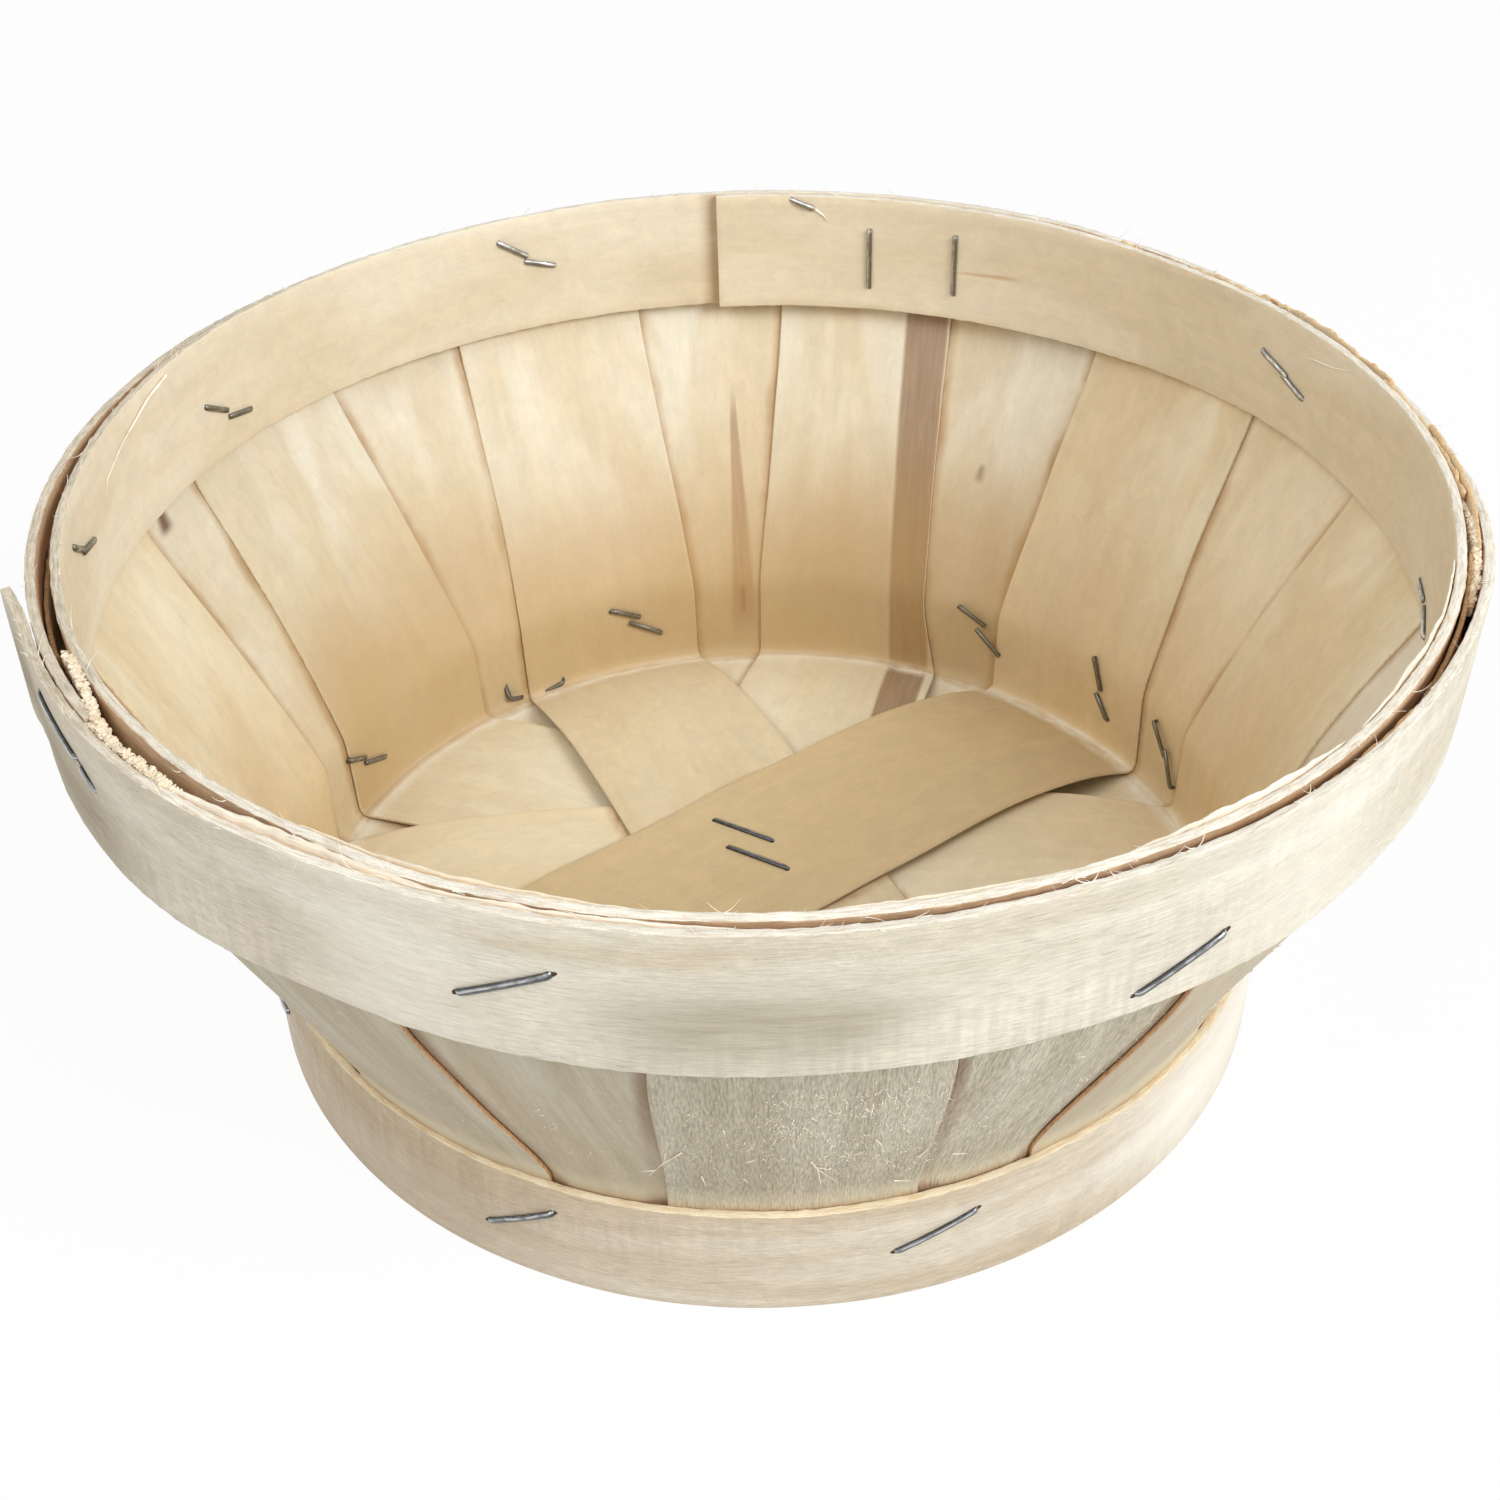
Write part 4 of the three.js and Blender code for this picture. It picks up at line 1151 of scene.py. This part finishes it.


# Small dark pits where the legs go in: painted shade of the holes
def stapleHoles():
    finish = Finish("pit")
    finish.surface({"Base Color": paint("4a3423"), "Roughness": 0.9})
    pit = staples["pit"]
    groups = [(staples["rim"], rimOutside, lambda height: basket["height"] - height * mm, staples["shown"]),
              (staples["base"], baseOutside, lambda height: height * mm, {})]
    for table, face, heightOf, shown in groups:
        for i, (at, height, tilt) in enumerate(table, 1):
            middle, lean = math.radians(at), math.radians(tilt)
            # A staple that dives into the wood has a pit at its first end alone
            for end in (-1,) if i in shown else (-1, 1):
                reach = end * (staples["crown"] / 2 + pit["beyond"])
                angle = middle + reach * math.cos(lean) / face(middle)
                spot = polar(face(angle) + pit["proud"], angle, heightOf(height) + reach * math.sin(lean))
                bpy.ops.mesh.primitive_circle_add(vertices=9, radius=pit["radius"], fill_type="NGON")
                piece = bpy.context.object
                turn = Matrix((polar(1, angle + math.pi / 2, 0), (0, 0, 1), polar(1, angle, 0))).transposed()
                spin = Matrix.Rotation(lean, 3, "Z")
                for corner, vertex in enumerate(piece.data.vertices):
                    vertex.co *= 1 + 0.35 * wobble(at * 3 + end, corner * 2.3)
                    vertex.co.y *= pit["flat"]
                    vertex.co = spot + turn @ (spin @ vertex.co)
                piece.data.materials.append(finish.material)
                yield piece


def joinPieces(name, pieces):
    pieces = list(pieces)
    bpy.ops.object.select_all(action="DESELECT")
    for piece in pieces:
        piece.select_set(True)
    bpy.context.view_layer.objects.active = pieces[0]
    bpy.ops.object.join()
    joined = bpy.context.object
    joined.name = name
    joined.data.name = name
    return joined


for i, (at, below, tilt) in enumerate(staples["rim"], 1):
    wallStaple(f"rim_wire_{i:02d}", f"rim_staple_{i:02d}", at, basket["height"] - below * mm, tilt,
               rimOutside, rimInside, shown=staples["shown"].get(i, 1),
               inside=staples["inside"].get(f"rim_{i:02d}"),
               steel=skyLitSteel if i in staples["bright"] else dullSteel)
for i, (at, height, tilt) in enumerate(staples["base"], 1):
    wallStaple(f"base_wire_{i:02d}", f"base_staple_{i:02d}", at, height * mm, tilt, baseOutside, baseInside,
               inside=staples["inside"].get(f"base_{i:02d}"))
for i, (at, above) in enumerate(staples["lap"], 1):
    wallStaple(f"lap_wire_{i:02d}", f"inner_hoop_staple_{i:02d}", at, innerLow.z + above * mm, 90,
               rimInside, lambda angle: staveRim - layerPitch, -1, length=staples["lapCrown"], steel=lapSteel)
for i, ends in enumerate(staples["floor"], 1):
    start, end = [Vector((x * mm, y * mm, 0)) for x, y in ends]
    topStrip = basket["floorLift"] + (len(strips) - 1) * layerPitch + basket["splintThickness"]
    across = (end - start).normalized()
    up = Vector((0, 0, topStrip + staples["stand"]))
    down = Vector((0, 0, basket["floorLift"] - staples["stand"]))
    clinch = Matrix.Rotation(staples["clinchTurn"], 3, "Z") @ across * staples["clinch"]
    corners = [start + down + clinch, start + down, start + up, end + up, end + down, end + down - clinch]
    wirePiece(f"floor_wire_{i:02d}", corners, f"floor_staple_{i:02d}", across.cross(Vector((0, 0, 1))))
# The second rim staple shows only one tip, at the top edge of the inner hoop's lap
tip = [polar(rimInside(math.radians(angle)) - out * mm, math.radians(angle), height * mm)
       for angle, height, out in staples["tip"]]
wirePiece("rim_wire_02_tip", tip, None, Vector((0, 0, 1)), basket["rimRadius"])
finishPiece(joinPieces("staple_pits", stapleHoles()), [])
print("staples made")


# Radius of a hoop's outer and inner face near its top edge
def hoopTopFaces(name, angle):
    hoop = hoops[name]
    face = hoopFaceAt(hoop, angle) + hoop["lean"] * aroundTable(rimPinch, angle)
    return face, face - basket["hoopThickness"]


# Thin layers split off along the hoops' top edges, in degrees and millimetres. Off is the distance in from
# the hoop's inner face, and spread how much more it is away from the ends.
laminae = [
    {"name": "rim_sliver", "hoop": "rim_hoop_outer", "span": (225.5, 250), "off": 0.25, "spread": 1.1,
     "lift": 0.9, "depth": 3.4, "thick": 0.75},
    {"name": "rim_layer_1", "hoop": "rim_hoop_outer", "span": (243, 268), "off": 0.1, "spread": 0.5,
     "lift": 0.3, "depth": 2.5, "thick": 0.35},
    {"name": "inner_layer_1", "hoop": "rim_hoop_inner", "span": (237, 263), "off": 0.15, "spread": 0.35,
     "lift": 0.5, "depth": 4, "thick": 0.35},
    {"name": "inner_layer_2", "hoop": "rim_hoop_inner", "span": (272, 291), "off": 0.1, "spread": 0.3,
     "lift": 0.5, "depth": 3, "thick": 0.3},
    {"name": "inner_layer_3", "hoop": "rim_hoop_inner", "span": (293.5, 314), "off": 0.15, "spread": 0.6,
     "lift": 0.9, "depth": 3.5, "thick": 0.4},
    {"name": "inner_layer_4", "hoop": "rim_hoop_inner", "span": (316, 341), "off": 0.1, "spread": 0.5,
     "lift": 0.5, "depth": 5, "thick": 0.35},
]


def makeLamina(spec):
    first, last = [math.radians(angle) for angle in spec["span"]]
    columns = round((last - first) * basket["rimRadius"] / (0.8 * mm))
    seed = first * 40

    def place(a, b):
        angle = first + (last - first) * a
        swell = math.sin(math.pi * a) ** 0.7
        off = spec["off"] + spec["spread"] * swell * (0.7 + 0.9 * wobble(angle * 30, seed))
        top = spec["lift"] * swell + 0.35 * wobble(angle * 60, seed, 2) * swell - 0.4 * (1 - swell)
        depth = spec["depth"] * (0.25 + 0.75 * swell)
        radius = hoopTopFaces(spec["hoop"], angle)[1] - off * b * b * mm
        return polar(radius, angle, basket["height"] + (top - depth * (1 - b)) * mm)

    def grainAt(a, b):
        return (first + (last - first) * a) * basket["rimRadius"], b * spec["depth"] * mm + seed

    sheet = bentSheet(spec["name"], columns, 5, place, grainAt, spec["thick"] * mm, [splitWood] * 3)
    finishPiece(sheet, [])


# Broken strip ends that stand up between the hoops: crumbling wood across the grain. Low and top are how far
# each reaches below and above the rim, in millimetres, and crumbs how many there are in a metre.
tornEnds = [
    {"name": "torn_end_1", "span": (206.3, 217.8), "radius": (126.9, 129.0), "thick": 1.4, "low": 9,
     "top": 0.3, "crumbs": 1500},
    {"name": "torn_end_2", "span": (216.2, 229), "radius": (130.1, 129.7), "thick": 1.4, "low": 8,
     "top": 0.5, "crumbs": 1900},
    {"name": "torn_end_3", "span": (336.5, 351.5), "radius": (127.7, 126.8), "thick": 0.9, "low": 5,
     "top": -0.4, "crumbs": 1700},
]


def makeTornEnd(spec):
    first, last = [math.radians(angle) for angle in spec["span"]]
    columns = round((last - first) * basket["rimRadius"] / (0.3 * mm))
    seed = first * 31

    def place(a, b):
        angle = first + (last - first) * a
        radius = spec["radius"][0] + (spec["radius"][1] - spec["radius"][0]) * smoothStep(a, 0.25, 1)
        ends = min(1, 6 * a, 5 * (1 - a))
        top = spec["top"] - 1.6 * (1 - ends) + 0.45 * wobble(angle * 90, seed)
        height = -spec["low"] + (top + spec["low"]) * b
        return polar(radius * mm, angle, basket["height"] + height * mm)

    def grainAt(a, b):
        return b * spec["low"] * mm + seed, a * (last - first) * basket["rimRadius"]

    sheet = bentSheet(spec["name"], columns, 16, place, grainAt, spec["thick"] * mm, [tornWood] * 3)
    applyModifier(sheet, "SUBSURF", levels=1, subdivision_type="SIMPLE")
    # Each crumb swells between the cells' borders, most of all near the top
    for vertex, out in [(v, v.normal.copy()) for v in sheet.data.vertices]:
        near = smoothStep(vertex.co.z, basket["height"] - 5 * mm, basket["height"] - 1 * mm)
        spot = vertex.co + noise.noise_vector(vertex.co * 400) * 0.4 * mm
        nearest, second = noise.voronoi(Vector((spot.x, spot.y, spot.z * 0.6)) * spec["crumbs"])[0][:2]
        crumb = min(1, (second - nearest) * 2.2)
        shift = noise.noise_vector(vertex.co * 420) * 0.35 + out * (0.6 * crumb - 0.25)
        vertex.co += shift * mm * (0.2 + 0.8 * near)
    finishPiece(sheet, [])


tornWood = edgeFinish("torn_wood", "f6ead4", "dfc4a0", (1400, 1400, 700), 0.8)
splitWood = woodFinish("split_layer", dict(hoopSide, pale="f6f0e4", honey="ecdfc6", blush="efe0c8", seed=1.3))
for spec in laminae:
    makeLamina(spec)
for spec in tornEnds:
    makeTornEnd(spec)
print("split edges made")


# Loose fibres: how many stand on each rim hoop, and where clusters of curls stand on the staves. These are
# strip, clusters, most curls in a cluster, and the part of the width.
fibres = {
    "seed": 7,
    "rim": {"rim_hoop_outer": 330, "rim_hoop_inner": 260},
    "clusters": [
        (4, 105, 13, (-0.48, 0.12)), (4, 26, 7, (0.05, 0.45)), (8, 40, 8, (-0.48, 0.3)),
        (1, 14, 5, (-0.4, 0.4)), (6, 22, 3, (-0.48, 0.48)), (5, 12, 4, (-0.4, 0.4)), (2, 8, 3, (-0.4, 0.4)),
    ],
    "heights": (16 * mm, 60 * mm),              # of the clusters, above the base hoop
    "sizes": (0.22, 0.3, 0.45, 0.7),            # of the curls, in millimetres
    "rimHairs": [(231, 2.6), (237.5, 2.2), (226, 1.6), (322, 3.4)],     # angle and length
    # Single hairs that lie on the staves outside: angle and height of each point
    "staveHairs": [
        [(262.6, 51.9), (260.8, 46.2), (258.8, 37.8)], [(261.3, 51.2), (260.8, 46.2)],
        [(259.6, 41), (258.4, 40.2)], [(263.7, 40.0), (263.9, 35.7), (264.4, 41.3)],
        [(273.1, 47.6), (273.7, 44.0), (275.8, 35.0)], [(273.7, 44.0), (274.3, 34.7)],
        [(273.4, 44.6), (274.8, 43.0)], [(281.3, 31.6), (283.1, 30.2)], [(286.1, 39.4), (287.6, 38.3)],
        [(267.8, 48.2), (268.6, 50.6)], [(278.0, 55.7), (278.6, 53.3), (279.0, 47.8)],
        [(282.7, 42.9), (283.0, 46.4), (283.2, 48.9)],
    ],
    # Splinters raised on the inner hoop's face
    "hoopHairs": [
        [(160.5, 113.6), (164, 112.4), (170.3, 109.2), (174.4, 106.8), (175.4, 104.3)],
        [(22.2, 107.9), (18.4, 109.4), (14.2, 112.6)], [(82.2, 112.4), (81.3, 111), (80.9, 109.6)],
    ],
}


# Hairs of wood: a curve with one thin tapering spline for each, turned into a mesh
def fibrePiece(name, strands, material):
    curve = bpy.data.curves.new(name, "CURVE")
    curve.dimensions = "3D"
    curve.bevel_depth = 1.0 * mm
    curve.bevel_resolution = 0
    curve.use_fill_caps = True
    for points, radius in strands:
        spline = curve.splines.new("POLY")
        spline.points.add(len(points) - 1)
        for i, (spot, point) in enumerate(zip(spline.points, points)):
            spot.co = (*point, 1)
            spot.radius = radius * (1 - 0.8 * i / (len(points) - 1))
    piece = bpy.data.objects.new(name, curve)
    bpy.context.collection.objects.link(piece)
    activate(piece)
    bpy.ops.object.convert(target="MESH")
    piece = bpy.context.object
    piece.data.materials.append(material)
    finishPiece(piece, [])


def fibreFinish():
    finish = Finish("loose_fibre")
    tone = finish.noise(finish.place(), 300, 1)
    colour = finish.mix(paint("e6d9be"), paint("fbf7ec"), finish.range(tone, 0.35, 0.6))
    finish.feed(finish.shader.inputs["Base Color"], colour)
    finish.shader.inputs["Roughness"].default_value = 0.6
    return finish.material


# A strand from a start, along one way, rising and curling toward another
def strand(start, along, rise, length, curl, steps=5):
    points = []
    for i in range(steps + 1):
        t = i / steps
        points.append(start + along * (length * t * (1 - 0.35 * curl * t)) + rise * (length * curl * t * t))
    return points


# A curl: part of a loop that stands up from the wood
def curl(start, along, rise, size, sweep, steps=6):
    points = []
    for i in range(steps + 1):
        turn = sweep * i / steps
        points.append(start + along * (size * math.sin(turn)) + rise * (size * (1 - math.cos(turn))))
    return points


def rimFibres(dice):
    strands = []
    for name, count in fibres["rim"].items():
        for _ in range(count):
            angle = dice.uniform(0, 2 * math.pi)
            outer, inner = hoopTopFaces(name, angle)
            radius = outer + (inner - outer) * dice.choice((dice.uniform(0, 0.25), dice.uniform(0.8, 1)))
            top = hoopEdgeHeight(hoops[name], angle, True)
            start = polar(radius, angle, top - dice.uniform(0.1, 0.4) * mm)
            along = polar(1, angle + dice.choice((-1, 1)) * math.pi / 2, 0)
            outward = polar(dice.uniform(-0.7, 0.7), angle, 0)
            rise = (outward + Vector((0, 0, dice.uniform(0.1, 0.9)))).normalized()
            length = dice.choice((dice.uniform(0.8, 2.2), dice.uniform(1.5, 5))) * mm
            points = strand(start, along, rise, length, dice.uniform(0.15, 0.9))
            strands.append((points, dice.uniform(0.05, 0.13)))
    return strands


def staveFibres(dice):
    strands = []
    foot = wallLengths[next(i for i, point in enumerate(wallPoints) if point.y > baseHigh.z)]
    edge = splints["width"] / 2 - 0.5 * mm
    for layer, clusters, most, (low, high) in fibres["clusters"]:
        path = paths[layer]
        for _ in range(clusters):
            middle = dice.uniform(low, high) * splints["width"]
            height = dice.uniform(*fibres["heights"])
            for _ in range(dice.randint(2, most)):
                lane = max(-edge, min(edge, dice.gauss(middle, 1.6 * mm)))
                distance = -(path.half + foot + max(0, dice.gauss(height, 2.0 * mm)))
                start = path.point(lane, distance, -0.04 * mm)
                ahead = (path.point(lane, distance + 1 * mm, -0.04 * mm) - start).normalized()
                out = polar(1, math.atan2(start.y, start.x), 0)
                across = ahead.cross(out)
                along = (ahead * dice.choice((-1, 1)) + across * dice.uniform(-0.7, 0.7)).normalized()
                rise = (out * dice.uniform(0.2, 0.8) + across * dice.uniform(-1, 1)).normalized()
                size = dice.choice(fibres["sizes"]) * dice.uniform(0.7, 1.3) * mm
                points = curl(start, along, rise, size, dice.uniform(0.6, 2.3))
                strands.append((points, dice.uniform(0.05, 0.09)))
    return strands


def wallRadius(height):
    after = next(i for i, point in enumerate(wallPoints) if point.y > height)
    low, high = wallPoints[after - 1], wallPoints[after]
    return low.x + (high.x - low.x) * (height - low.y) / (high.y - low.y)


def longHairs():
    hairs = []
    for line in fibres["staveHairs"]:
        # Every second point stands off a little more
        points = [polar(wallRadius(z * mm) + (0.25 + 0.25 * (i % 2)) * mm, math.radians(at), z * mm)
                  for i, (at, z) in enumerate(line)]
        hairs.append((points, 0.13))
    for angle, length in fibres["rimHairs"]:
        around = math.radians(angle)
        start = polar(hoopTopFaces("rim_hoop_inner", around)[0], around, basket["height"] - 0.5 * mm)
        along = (polar(0.8, around, 0) + Vector((0, 0, 0.2))).normalized()
        hairs.append((strand(start, along, Vector((0, 0, 1)), length * mm, 0.6), 0.12))
    for line in fibres["hoopHairs"]:
        spots = [(math.radians(at), z) for at, z in line]
        hairs.append(([polar(rimInside(angle) + 0.03 * mm, angle, z * mm) for angle, z in spots], 0.3))
    return hairs


looseFibre = fibreFinish()
dice = random.Random(fibres["seed"])
fibrePiece("rim_fibres", rimFibres(dice), looseFibre)
fibrePiece("stave_fibres", staveFibres(dice) + longHairs(), looseFibre)
print("fibres made")

# Floor, light and camera
stage = {
    "floor": (0.85, 0.85, 0.85, 1),
    "floorWhite": 0.93,         # how far the floor is plain white to the camera; the rest keeps the shadow
    "skyLight": (1.0, 0.985, 0.96, 1),
    "skyStrength": 0.56,
    "white": (1, 1, 1, 1),
    # Place, aim, size, power and colour
    "lamps": {
        "key": ((0.97, -0.75, 0.92), (0, 0, 0.06), 0.7, 15.0, (0.965, 0.987, 1)),
        "left": ((-0.75, -0.7, 1.2), (0, 0, 0.06), 0.9, 7.0, (1, 0.985, 0.96)),
    },
    "camera": {
        "place": (-0.001994, -0.333455, 0.297148),
        "right": (0.9996343, -0.0162291, -0.0216305),
        "up": (0.0270419, 0.5999273, 0.7995974),
        "forward": (0.0, 0.79989, -0.60015),
        "lens": 49.163,
    },
}


def makeFloor():
    bpy.ops.mesh.primitive_plane_add(size=12, location=(0, 0, 0))
    ground = bpy.context.object
    ground.name = "ground"
    finish = Finish("ground_white")
    finish.surface({"Base Color": stage["floor"], "Roughness": 0.9})
    white = finish.node("ShaderNodeEmission", {"Color": stage["white"], "Strength": 1.0}).outputs[0]
    share = finish.times(finish.onView(), stage["floorWhite"])
    both = finish.node("ShaderNodeMixShader", {0: share, 1: finish.shader.outputs[0], 2: white}).outputs[0]
    output = next(n for n in finish.tree.nodes if n.type == "OUTPUT_MATERIAL")
    finish.feed(output.inputs["Surface"], both)
    ground.data.materials.append(finish.material)


# White to the camera and in reflections, and a plain light on the object
def makeSky():
    world = bpy.data.worlds.new("studio")
    bpy.context.scene.world = world
    world.use_nodes = True
    sky = Nodes(world.node_tree)
    light = sky.tree.nodes["Background"]
    sky.feed(light.inputs["Color"], stage["skyLight"])
    sky.feed(light.inputs["Strength"], stage["skyStrength"])
    backdrop = sky.node("ShaderNodeBackground", {"Color": stage["white"], "Strength": 1.0})
    both = sky.node("ShaderNodeMixShader", {0: sky.onView(), 1: light.outputs[0], 2: backdrop.outputs[0]})
    sky.feed(sky.tree.nodes["World Output"].inputs["Surface"], both.outputs[0])


def addLamp(name, place, aim, size, energy, colour):
    bpy.ops.object.light_add(type="AREA", location=place)
    lamp = bpy.context.object
    lamp.name = name
    lamp.data.shape = "DISK"
    lamp.data.size = size
    lamp.data.energy = energy
    lamp.data.color = colour
    lamp.rotation_euler = (Vector(aim) - Vector(place)).to_track_quat("-Z", "Y").to_euler()


def addCamera(view):
    camera = bpy.data.objects.new("camera", bpy.data.cameras.new("camera"))
    bpy.context.collection.objects.link(camera)
    camera.data.lens = view["lens"]
    camera.data.sensor_width = 36
    camera.data.clip_start = 0.01
    turn = Matrix((view["right"], view["up"], [-c for c in view["forward"]])).transposed()
    camera.matrix_world = Matrix.Translation(view["place"]) @ turn.to_4x4()
    bpy.context.scene.camera = camera


makeFloor()
makeSky()
for name, settings in stage["lamps"].items():
    addLamp(name, *settings)
addCamera(stage["camera"])
bpy.context.scene.view_settings.view_transform = "Standard"
print("stage set")
